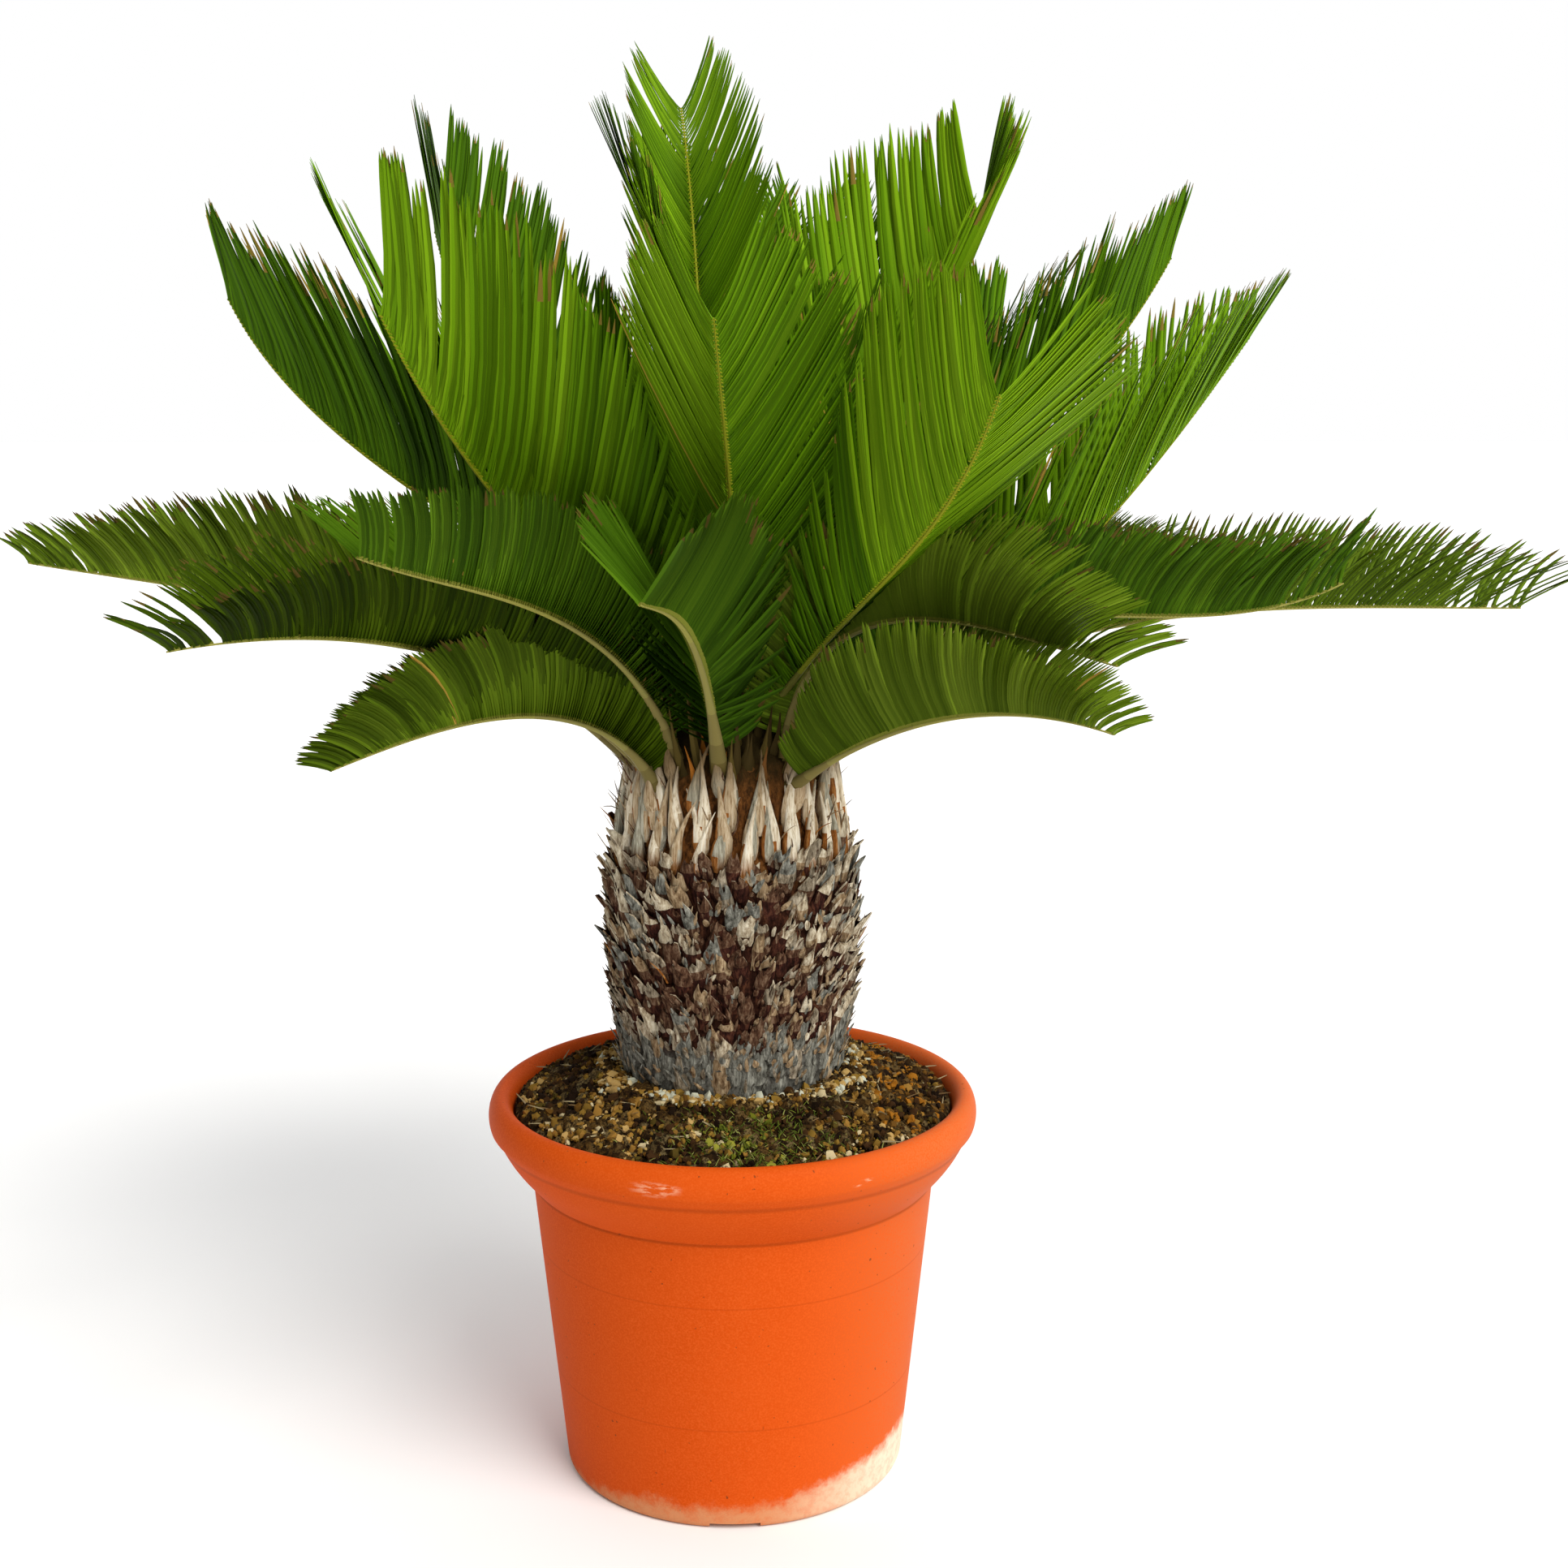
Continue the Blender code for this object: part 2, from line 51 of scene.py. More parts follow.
# The source's own values, in metres and degrees
RIM_RADIUS = 0.150
RIM_LEVEL = 0.2259
BEAD_HALF_WIDTH = 0.0075
BEAD_HALF_HEIGHT = 0.0125
BEAD_FOOT = (0.1450, 0.2148)
COLLAR_BULGE = 0.0020
STEP_RADIUS = 0.1251
STEP_LEVEL = 0.1864
STEP_DEPTH = 0.0012
FOOT_RADIUS = 0.1055
FOOT_ROUND = 0.0045
WALL = 0.0040
FLOOR = 0.0050
INNER_LEDGE = 0.0015
NOTCH_COUNT = 4
NOTCH_WIDTH = 0.030
NOTCH_HEIGHT = 0.0036
NOTCH_DEPTH = 0.014
SOIL_EDGE_LEVEL = 0.2330
SOIL_TOP = 0.2540
SEAT_RADIUS = 0.080
MOUND_FOOT_RADIUS = 0.112
MOUND_FOOT_LEVEL = 0.2403
TRUNK_OUTLINE = (
    (0.2543, 0.0700), (0.2700, 0.0715), (0.2900, 0.0735), (0.3150, 0.0755),
    (0.3400, 0.0758), (0.3600, 0.0750), (0.3800, 0.0718), (0.4000, 0.0672),
    (0.4200, 0.0632),
)
DOME_RADIUS = 0.060
DOME_LEVEL = 0.420
RIB_STATIONS = 48
RIB_HALF_WIDTH = (0.0045, 0.0010)
RIB_THICKNESS = (0.0070, 0.0018)
FIRST_LEAF_PART = 0.50
LEAF_RISE = 2.2
FADE_START = 0.5
FADE_POWER = 1.5

Frond = namedtuple("Frond", "azimuth seat rise length swing size end twist",
                   defaults=(1.0, 0.6, 0))
TWIST_END = 0.35
UPPER_FRONDS = (
    Frond(12, 52, (17, 40, 46), 0.396, 22, 1.15, 0.35, -11),
    Frond(12, 40, (57, 46, 63), 0.351, -21, 1.09, 0.35, -1),
    Frond(44, 46, (48, 46, 45), 0.298, -1, 1.12, 0.69, -6),
    Frond(37, 26, (82, 54, 80), 0.329, -22, 1.37, 0.42, 11),
    Frond(65, 42, (60, 63, 56), 0.330, 22, 0.95, 0.52, 2),
    Frond(105, 22, (69, 76, 40), 0.396, -8, 0.77, 0.64, -5),
    Frond(106, 42, (72, 76, 52), 0.333, 20, 1.15, 0.47, 18),
    Frond(148, 30, (34, 61, 77), 0.337, 21, 1.2, 0.57, -3),
    Frond(198, 46, (70, 35, 66), 0.347, 1, 1.21, 0.35, -3),
    Frond(224, 38, (49, 46, 64), 0.304, -8, 1.27, 0.53, 2),
    Frond(272, 30, (56, 39, 50), 0.320, -8, 1.0, 0.47, -6),
    Frond(302, 36, (46, 29, 47), 0.332, -19, 1.13, 0.47, -18),
    Frond(258, 8, (84, 80, 74), 0.200, 0, 0.75, 0.7),
    Frond(322, 15, (76, 68, 72), 0.200, 0, 0.75, 0.7),
    Frond(200, 15, (76, 68, 72), 0.200, 0, 0.75, 0.7),
)
LOWER_FRONDS = (
    Frond(5, 66, (39, 6, -1), 0.465, 6, 0.93, 0.99, 6),
    Frond(347, 64, (80, 3, 28), 0.338, 9, 1.09, 0.82, -2),
    Frond(306, 76, (30, 16, -11), 0.247, 10, 1.03, 0.35),
    Frond(306, 60, (90, 9, -12), 0.267, 22, 1.13, 0.57),
    Frond(263, 66, (56, 18, 8), 0.336, 2, 1.2, 0.7),
    Frond(233, 60, (65, 20, 17), 0.303, 8, 1.05, 0.7, 6),
    Frond(224, 78, (61, 3, -19), 0.219, -22, 1.34, 0.38, 13),
    Frond(218, 72, (45, 17, -5), 0.325, 6, 1.15, 0.52, -10),
    Frond(189, 70, (46, 16, 10), 0.369, -5, 1.29, 0.35),
)
FAR_LOWER = (22, 42, 63, 85, 107, 129, 152)
FAR_LOWER_RIB = Frond(0, 68, (54, 8, 4), 0.38, 0)
RISE_SPREAD = 6
AZIMUTH_SPREAD = 3
SEAT_SPREAD = 4
LENGTH_SPREAD = (0.92, 1.06)
SWING_SPREAD = 6

# Camera: fitted to the outline of the pot
CAMERA_PLACE = (0.0, -1.250, 0.657)
CAMERA_PITCH = 10.40
CAMERA_YAW = 1.443
CAMERA_LENS = 48.45
CAMERA_SENSOR = 36.0


# Materials

def plain(name, colour, roughness, specular):
    material = bpy.data.materials.new(name)
    material.use_nodes = True
    shader = material.node_tree.nodes["Principled BSDF"]
    shader.inputs["Base Color"].default_value = (*colour, 1.0)
    shader.inputs["Roughness"].default_value = roughness
    shader.inputs["Specular IOR Level"].default_value = specular
    return material


def plains(name, colours, roughness, specular):
    """A plain material for each colour, numbered from 1."""
    return [plain("%s_%d" % (name, i + 1), colour, roughness, specular)
            for i, colour in enumerate(colours)]


def new_node(tree, kind, given, **settings):
    """A shader node with these settings, and a socket or a value for each of its inputs."""
    node = tree.nodes.new("ShaderNode" + kind)
    for name, setting in settings.items():
        setattr(node, name, setting)
    for key, value in given.items():
        if isinstance(value, bpy.types.NodeSocket):
            tree.links.new(value, node.inputs[key])
        else:
            node.inputs[key].default_value = value
    return node


class Pattern:
    """A material whose node pattern lies on Object coordinates."""

    def __init__(self, name, colour, roughness, specular):
        self.material = plain(name, colour, roughness, specular)
        self.place = self.node("TexCoord", {}).outputs["Object"]

    def node(self, kind, given, **settings):
        return new_node(self.material.node_tree, kind, given, **settings)

    def give(self, socket, source):
        """Link a pattern to the shader."""
        tree = self.material.node_tree
        tree.links.new(source, tree.nodes["Principled BSDF"].inputs[socket])

    def stretched(self, stretch):
        if stretch is None:
            return self.place
        return self.node("Mapping", {"Scale": stretch, "Vector": self.place}).outputs["Vector"]

    def noise(self, scale, detail=4.0, roughness=0.55, stretch=None):
        given = {"Scale": scale, "Detail": detail, "Roughness": roughness,
                 "Vector": self.stretched(stretch)}
        return self.node("TexNoise", given).outputs["Fac"]

    def cells(self, scale):
        return self.node("TexVoronoi", {"Scale": scale, "Vector": self.place}).outputs["Color"]

    def ramp(self, source, *stops):
        """Stops are (place, colour) or (place, value), in rising order."""
        node = self.node("ValToRGB", {"Fac": source})
        elements = node.color_ramp.elements
        for place, colour in stops[1:-1]:
            elements.new(place)
        elements[0].position = stops[0][0]
        elements[-1].position = stops[-1][0]
        for element, (place, colour) in zip(elements, stops):
            if not isinstance(colour, tuple):
                colour = (colour, colour, colour)
            element.color = (*colour, 1.0)
        return node.outputs["Color"]

    def near(self, centre, radius, reach, stretch):
        """1 within a radius of a point, fading to 0 over a further reach."""
        middle = tuple(a * b for a, b in zip(centre, stretch))
        away = self.node("VectorMath", {0: self.stretched(stretch), 1: middle},
                         operation="DISTANCE")
        return self.range(away.outputs["Value"], radius, radius + reach, 1.0, 0.0)

    def mix(self, factor, *colours):
        """Mix two colours, each a socket or a plain colour."""
        first, second = [(*colour, 1.0) if isinstance(colour, tuple) else colour
                         for colour in colours]
        return self.node("Mix", {0: factor, 6: first, 7: second}, data_type="RGBA").outputs[2]

    def math(self, operation, *values):
        return self.node("Math", dict(enumerate(values)), operation=operation).outputs[0]

    def range(self, value, low, high, to_low=0.0, to_high=1.0):
        """A smooth step from one value to another."""
        given = dict(enumerate((value, low, high, to_low, to_high)))
        return self.node("MapRange", given, interpolation_type="SMOOTHSTEP").outputs[0]

    def axes(self):
        return self.node("SeparateXYZ", {0: self.place}).outputs

    def bump(self, height, distance, strength):
        given = {"Strength": strength, "Distance": distance, "Height": height}
        self.give("Normal", self.node("Bump", given).outputs["Normal"])


# Shapes made of arrays

EDGED = ((1.0, -0.6), (0.0, 0.5), (-1.0, -0.6), (0.0, -0.25))
ROUNDED = tuple((math.cos(math.radians(a)), math.sin(math.radians(a))) for a in range(0, 360, 45))
SIXFOLD = tuple((math.cos(math.radians(a)), math.sin(math.radians(a))) for a in range(0, 360, 60))


def unit(vectors):
    return vectors / np.linalg.norm(vectors, axis=-1, keepdims=True)


def loft(path, across, up, section, tint):
    """Skin many strands at once. path, across and up are arrays of (strand, station, 3),
    the section an even round of (across, up) parts, and tint the material of each strand's
    stretches, or of their sides. Gives points, four-cornered faces and their materials."""
    strands, stations = path.shape[:2]
    outline = np.array(section)
    sides = len(outline)
    points = (path[:, :, None, :] + across[:, :, None, :] * outline[:, 0, None]
              + up[:, :, None, :] * outline[:, 1, None])
    first = (np.arange(strands) * stations * sides)[:, None, None]
    ring = first + (np.arange(stations - 1) * sides)[None, :, None]
    here = ring + np.arange(sides)
    there = ring + (np.arange(sides) + 1) % sides
    walls = np.stack([here, there, there + sides, here + sides], axis=-1).reshape(-1, 4)
    if tint.ndim == 2:
        tint = np.repeat(tint[:, :, None], sides, axis=2)
    caps, cap_tints = [], []
    last = (stations - 1) * sides
    for i in range(sides // 2 - 1):
        corners = np.array([i, i + 1, sides - 2 - i, sides - 1 - i])
        caps.append(first[:, 0] + last + corners)
        caps.append(first[:, 0] + corners[::-1])
        cap_tints += [tint[:, -1, 0], tint[:, 0, 0]]
    faces = np.concatenate([walls] + caps)
    tints = np.concatenate([tint.ravel()] + cap_tints)
    return points.reshape(-1, 3), faces, tints


def bent(root, elbow, tip, normal, places):
    """Bent strands as arrays of (strand, station, 3): their path, heading and upper normal."""
    root, elbow, tip, normal = [vectors[:, None] for vectors in (root, elbow, tip, normal)]
    path = root * (1 - places) ** 2 + elbow * 2 * places * (1 - places) + tip * places ** 2
    heading = unit((elbow - root) * (1 - places) + (tip - elbow) * places)
    rise = unit(normal - heading * np.sum(normal * heading, -1, keepdims=True))
    return path, heading, rise


def columns(profile):
    """The columns of a table of stations, each ready to spread over (strand, station, 3)."""
    return [np.array(column)[None, :, None] for column in zip(*profile)]


def joined(name, chunks, materials, nodes=(), sharp=60.0):
    """One mesh of many small shapes, with a material for each face."""
    points, faces, tints = [], [], []
    base = 0
    for chunk_points, chunk_faces, chunk_tints in chunks:
        points.append(chunk_points)
        faces += (chunk_faces + base).tolist()
        tints.append(chunk_tints)
        base += len(chunk_points)
    mesh = bpy.data.meshes.new(name)
    mesh.from_pydata(np.concatenate(points).tolist(), [], faces)
    for material in materials:
        mesh.materials.append(material)
    mesh.polygons.foreach_set("material_index", np.concatenate(tints).astype(np.int32))
    mesh.shade_smooth()
    mesh.set_sharp_from_angle(angle=math.radians(sharp))
    placed(name, mesh, nodes)


def mesh_of(bm, name, *materials):
    """A mesh of a bmesh, which is freed."""
    mesh = bpy.data.meshes.new(name)
    bm.to_mesh(mesh)
    bm.free()
    for material in materials:
        mesh.materials.append(material)
    return mesh


def linked(name, data):
    """An object with this mesh, light or camera, in the scene."""
    thing = bpy.data.objects.new(name, data)
    bpy.context.scene.collection.objects.link(thing)
    return thing


def placed(name, mesh, nodes=()):
    """A finished piece, and the nodes of the source that it stands in for."""
    piece = linked(name, mesh)
    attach(piece, "root")
    if nodes:
        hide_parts(*nodes)


def copies(shape, centres, axes, tints):
    """Copies of a small shape: axes are (copy, 3, 3) rows for its x, y and z, with their size."""
    points, faces = shape
    moved = np.einsum("pi,cij->cpj", points, axes) + centres[:, None, :]
    offsets = (np.arange(len(centres)) * len(points))[:, None, None]
    return moved.reshape(-1, 3), (faces + offsets).reshape(-1, 3), np.repeat(tints, len(faces))


# Fronds

def through(three, part):
    """A smooth value that passes through three given ones at 0, a half and 1."""
    first, middle, last = three
    return (first * (1 - part) * (1 - 2 * part) + middle * 4 * part * (1 - part)
            + last * part * (2 * part - 1))


def between(ends, part):
    return ends[0] + (ends[1] - ends[0]) * part


def far_fronds(draw):
    """Fronds of the far side, drawn as the source draws them."""
    fronds = []
    for azimuth in FAR_LOWER:
        lift = draw.uniform(-RISE_SPREAD, RISE_SPREAD)
        rise = tuple(value + lift for value in FAR_LOWER_RIB.rise)
        turned_azimuth = azimuth + draw.uniform(-AZIMUTH_SPREAD, AZIMUTH_SPREAD)
        seat = FAR_LOWER_RIB.seat + draw.uniform(-SEAT_SPREAD, SEAT_SPREAD)
        length = FAR_LOWER_RIB.length * draw.uniform(*LENGTH_SPREAD)
        swing = draw.uniform(-SWING_SPREAD, SWING_SPREAD)
        fronds.append(Frond(turned_azimuth, seat, rise, length, swing))
    return fronds


def rib_line(frond):
    """The rib as arrays of part, centre, along, side and upper normal."""
    part = np.linspace(0.0, 1.0, RIB_STATIONS + 1)
    turn = np.radians(frond.azimuth + frond.swing * part)
    slope = np.radians(through(frond.rise, part))
    along = np.stack([np.cos(slope) * np.cos(turn), np.cos(slope) * np.sin(turn),
                      np.sin(slope)], axis=-1)
    side = np.stack([-np.sin(turn), np.cos(turn), 0 * turn], axis=-1)
    normal = np.cross(along, side)
    twist = np.radians(frond.twist * np.minimum(1.0, part / TWIST_END))[:, None]
    side, normal = (side * np.cos(twist) + normal * np.sin(twist),
                    normal * np.cos(twist) - side * np.sin(twist))
    azimuth, seat = math.radians(frond.azimuth), math.radians(frond.seat)
    out = np.array([math.sin(seat) * math.cos(azimuth), math.sin(seat) * math.sin(azimuth),
                    math.cos(seat)])
    slant = math.sqrt(1.0 - float(out @ along[0]) ** 2)
    foot = np.array([0.0, 0.0, DOME_LEVEL]) + out * (DOME_RADIUS + RIB_THICKNESS[0] / 2 * slant)
    steps = (along[1:] + along[:-1]) / 2 * frond.length / RIB_STATIONS
    centre = foot + np.concatenate([np.zeros((1, 3)), np.cumsum(steps, axis=0)])
    return part, centre, along, side, normal


def at(line, part):
    """The rib's centre, along, side and normal at an array of parts."""
    read = []
    for vectors in line[1:]:
        mixed = np.stack([np.interp(part, line[0], vectors[:, i]) for i in range(3)], axis=-1)
        read.append(mixed)
    return [read[0]] + [unit(vectors) for vectors in read[1:]]


def leaf_length(tier, frond, part):
    grown = np.minimum(1.0, FIRST_LEAF_PART + LEAF_RISE * part)
    fading = np.maximum(0.0, (part - FADE_START) / (1.0 - FADE_START)) ** FADE_POWER
    return tier.leaf * frond.size * grown * (1.0 - (1.0 - frond.end) * fading)


RIB_PARTS = np.concatenate([np.linspace(0, 0.12, 9)[:-1], np.linspace(0.12, 1.0, 45)])
# Materials of a rib, by the part of its length where each stretch ends
RIB_STRETCHES = (0.035, 0.075, 0.16, 0.45, 1.01)
FOOT_SWELL = 1.5
FOOT_SWELL_END = 0.24


def rib_chunk(line, slim):
    """A round rib, slimmer than the source's and swollen at its foot."""
    centre, along, side, normal = at(line, RIB_PARTS)
    swell = 1.0 + FOOT_SWELL * np.clip(1.0 - RIB_PARTS / FOOT_SWELL_END, 0.0, 1.0) ** 1.5
    width = between(RIB_HALF_WIDTH, RIB_PARTS) * slim * swell
    height = between(RIB_THICKNESS, RIB_PARTS) / 2 * slim * swell
    middle = (RIB_PARTS[1:] + RIB_PARTS[:-1]) / 2
    tint = np.searchsorted(RIB_STRETCHES, middle)
    return loft(centre[None], -side[None] * width[:, None], normal[None] * height[:, None],
                ROUNDED, tint[None])


# Leaflet stations: place, part of the full half width, part of the depth
UPPER_BLADE = (
    (0.0, 0.50, 1.6), (0.016, 0.72, 2.0), (0.04, 0.50, 1.2), (0.12, 0.66, 1.0),
    (0.32, 0.82, 1.0), (0.54, 0.96, 1.0), (0.76, 1.0, 1.0), (0.90, 0.72, 0.9),
    (0.965, 0.40, 0.7), (1.0, 0.05, 0.3),
)
LOWER_BLADE = (
    (0.0, 0.70, 1.6), (0.03, 0.92, 1.9), (0.09, 0.86, 1.1), (0.22, 1.0, 1.0),
    (0.44, 1.0, 1.0), (0.66, 0.96, 1.0), (0.84, 0.76, 0.9), (0.94, 0.48, 0.8), (1.0, 0.05, 0.3),
)
BLADE_DEPTH = 0.00060
# A leaflet's breadth: the part that all have, and the part that grows with its length
BREADTH_KEPT = 0.70
BREADTH_GROWN = 0.30
# Where its root is, in parts of the rib's half width and of its thickness
ROOT_ACROSS = 0.6
ROOT_UP = 0.30
# Leaflets lie in clumps of so many. Their spreads in sweep and keel, in degrees, are by
# clump and then one by one, and so are their stretches, in parts of the length.
CLUMP = (4, 9)
SWEEP_SPREADS = (0.9, 0.5)
KEEL_SPREADS = (1.4, 0.8)
CLUMP_STRETCH = (-0.07, 0.03)
LEAF_STRETCH = (-0.04, 0.01)
SPACING_SHIFT = 0.15
# The tips of a clump draw together by up to this part, and its outer leaflets are shorter
CLUMP_PULL = 0.42
CLUMP_TAPER = 0.012
# The share of leaflets that are broken short, the part left of them, and the share missing
BROKEN_SHARE = 0.015
BROKEN_PART = (0.45, 0.8)
MISSING_SHARE = 0.008
# A leaflet's roll about its own length, so that a row overlaps like shingles, and the
# rows (tier, frond, hand) that are rolled another way to keep a face to the light
ROLL = 30.0
ROLL_SPREAD = 4.0
ROLLED = {
    ("upper", 3, -1): 68.0, ("lower", 4, 1): -25.0, ("lower", 4, -1): 58.0,
    ("lower", 3, -1): -15.0, ("lower", 2, -1): -8.0,
}
# Leaflets near a frond's foot stray out of their row, some fronds' more than others'
STRAY_REACH = 0.42
LOOSE = {
    ("upper", 0): 0.0, ("upper", 1): 0.1, ("upper", 4): 1.0, ("upper", 6): 1.0,
    ("upper", 8): 1.0, ("upper", 9): 1.0, ("upper", 10): 1.0, ("upper", 11): 0.9,
    ("lower", 3): 1.0, ("lower", 4): 2.6, ("lower", 5): 1.2,
}
HELD = 0.3
# Leaflets go on down the stem below the source's first ones, growing shorter
STEM_LEAVES = 0.45
STEM_FALL = 3.0
# The rows whose foot is short so that the frond in front of them shows, the fronds whose
# leaflets aren't as long as the source's, and the share missing at the thin end of a row
SHORT_FOOT = {("upper", 11, -1): 0.22, ("upper", 11, 1): 0.55}
SHORT_FOOT_SPAN = (0.10, 0.50)
SCALED = {("lower", 0): 1.22, ("lower", 6): 0.71}
THIN_SHARE = 0.45
# Weathered fronds have more dry tips, and more leaflets broken short
FRAYED_TIPS = 3.0
FRAY = 0.22
LONG_TIP_SHARE = 0.20
GOLDEN_SHARE = 0.002

# Greens from dark to bright, in families of eight: the lower tier has a deep one and an olive one.
# Each is paired with a darker one, painted shade for the side of a leaflet towards the foot, where
# its neighbour overlaps it.
FAMILY = 8
SHADE_DARKER = 0.55
UPPER_GREENS = (
    (0.028, 0.072, 0.002), (0.042, 0.106, 0.002), (0.058, 0.142, 0.003), (0.076, 0.178, 0.003),
    (0.096, 0.215, 0.003), (0.120, 0.258, 0.004), (0.150, 0.305, 0.005), (0.210, 0.395, 0.008),
)
LOWER_GREENS = (
    (0.016, 0.042, 0.001), (0.024, 0.060, 0.001), (0.033, 0.080, 0.002), (0.044, 0.102, 0.003),
    (0.057, 0.126, 0.004), (0.072, 0.150, 0.005), (0.092, 0.185, 0.007), (0.118, 0.225, 0.010),
    (0.019, 0.037, 0.001), (0.030, 0.055, 0.001), (0.043, 0.076, 0.002), (0.058, 0.100, 0.003),
    (0.077, 0.130, 0.005), (0.100, 0.162, 0.007), (0.130, 0.204, 0.011), (0.170, 0.256, 0.016),
)
# Each frond's shades, on its left and on its right as its own tip is seen from its foot. They give
# each frond its own tone, and also paint light and shade onto each row, so that a row's green
# stands for how it is lit as much as for its colour.
UPPER_SHADES = (
    (5, 6), (2, 3), (3, 3), (6, 7), (4, 4), (6, 6), (3, 2), (2, 2), (2, 2), (6, 5),
    (4, 7), (7, 7), (3, 3), (3, 3), (3, 3),
)
LOWER_SHADES = (
    (12, 12), (3, 3), (14, 14), (13, 15), (4, 3), (4, 4), (12, 12), (9, 9), (13, 13), (4, 4),
    (12, 12), (3, 3), (11, 11), (4, 4), (11, 11), (4, 4),
)
# Painted shade: leaflets are darker in these stretches near a frond's foot, deep in the crown, and
# most where other fronds shade them
FOOT_STRETCHES = (0.14, 0.28, 0.42)
SHADED_FEET = {("upper", 11): (5, 5, 4)}
# Sides of a leaflet's section that lie towards the foot of its frond, for each hand: these get the
# darker pair, as painted shade
SHADED_SIDES = {1: (0, 3), -1: (1, 2)}
GOLDEN = (0.40, 0.25, 0.040)
RIB_GLOSS = 0.06
LEAF_GLOSS = 0.02
LEAF_ROUGHNESS = 0.5
FRONDS_A_PIECE = 8

# A tier has the source's values, from bare to keel. Then come how many real leaflets a
# side has, how wide they are, how far they bend and where, and their stations. After
# these, how slim the ribs are, how unevenly leaflets lie, how far they stray in sweep and
# in drop, where the thin end of a row begins, the weathered fronds, and the colours.
Tier = namedtuple("Tier", "name slot bare leaf sweep keel blades width bend elbow stations "
                  "rib_slim unevenness stray_sweep stray_drop thin_end frayed greens shades "
                  "foot_shades rib_colours leaf_foot dry_tip tip_share")
UPPER = Tier(
    name="upper", slot="young_frond", bare=0.08, leaf=0.132, sweep=(52, 43, 25),
    keel=(50, 47, 30), blades=128, width=0.0034, bend=20, elbow=0.24, stations=UPPER_BLADE,
    rib_slim=0.40, unevenness=1.0, stray_sweep=14.0, stray_drop=44.0, thin_end=1.0,
    frayed=(0, 1, 2, 8), greens=UPPER_GREENS, shades=UPPER_SHADES, foot_shades=(3, 2, 1),
    rib_colours=((0.060, 0.040, 0.010), (0.10, 0.075, 0.018), (0.13, 0.13, 0.022),
                 (0.20, 0.22, 0.014), (0.24, 0.26, 0.012)),
    leaf_foot=(0.30, 0.32, 0.012), dry_tip=(0.22, 0.155, 0.028), tip_share=0.20,
)
LOWER = Tier(
    name="lower", slot="old_frond", bare=0.12, leaf=0.064, sweep=(78, 68, 40),
    keel=(60, 60, 50), blades=150, width=0.0031, bend=16, elbow=0.50, stations=LOWER_BLADE,
    rib_slim=0.52, unevenness=0.5, stray_sweep=5.0, stray_drop=16.0, thin_end=0.87,
    frayed=(0, 1, 7, 8), greens=LOWER_GREENS, shades=LOWER_SHADES, foot_shades=(2, 1, 0),
    rib_colours=((0.11, 0.082, 0.022), (0.15, 0.120, 0.036), (0.20, 0.165, 0.050),
                 (0.25, 0.225, 0.062), (0.29, 0.270, 0.060)),
    leaf_foot=(0.16, 0.17, 0.02), dry_tip=(0.085, 0.062, 0.012), tip_share=0.25,
)


def clump_rows(count, draw):
    """Split a row of leaflets into clumps: each leaflet's clump and its place in it."""
    clump, offset = [], []
    number = 0
    while len(clump) < count:
        size = min(draw.randint(*CLUMP), count - len(clump))
        for i in range(size):
            clump.append(number)
            offset.append(i - (size - 1) / 2)
        number += 1
    return np.array(clump), np.array(offset)


def leaf_colours(tier, number, hand, clump, bladed, seeds):
    """Materials for one row: a green near the row's own shade and in its family, the darker one of
    the pair as painted shade on the foot side, darker greens near the frond's foot as painted
    shade, a pale foot and a few dry tips and golden leaflets. The materials are the greens, their
    darker pairs, then foot, tip and golden ones."""
    count = len(bladed)
    greens = len(tier.greens)
    foot, dry_tip, golden = 2 * greens, 2 * greens + 1, 2 * greens + 2
    shade = tier.shades[number][0 if hand == 1 else 1]
    darkest = shade // FAMILY * FAMILY
    colour = shade + seeds.choice((-1, 0, 0, 0, 0, 1), clump[-1] + 1)[clump]
    colour = colour + seeds.choice((-1, 0, 0, 1), count)
    foot_shades = SHADED_FEET.get((tier.name, number), tier.foot_shades)
    colour = colour - np.select([bladed < end for end in FOOT_STRETCHES], foot_shades)
    colour = np.clip(colour, darkest, darkest + FAMILY - 1)
    tint = np.tile(colour[:, None, None], (1, len(tier.stations) - 1, len(EDGED)))
    tint[:, :, SHADED_SIDES[hand]] += greens
    tint[seeds.random(count) < GOLDEN_SHARE] = golden
    tint[:, 0] = foot
    frayed_tips = FRAYED_TIPS if number in tier.frayed else 1.0
    dry = seeds.random(count) < tier.tip_share * frayed_tips
    tint[dry, -1] = dry_tip
    tint[dry & (seeds.random(count) < LONG_TIP_SHARE), -2] = dry_tip
    return tint


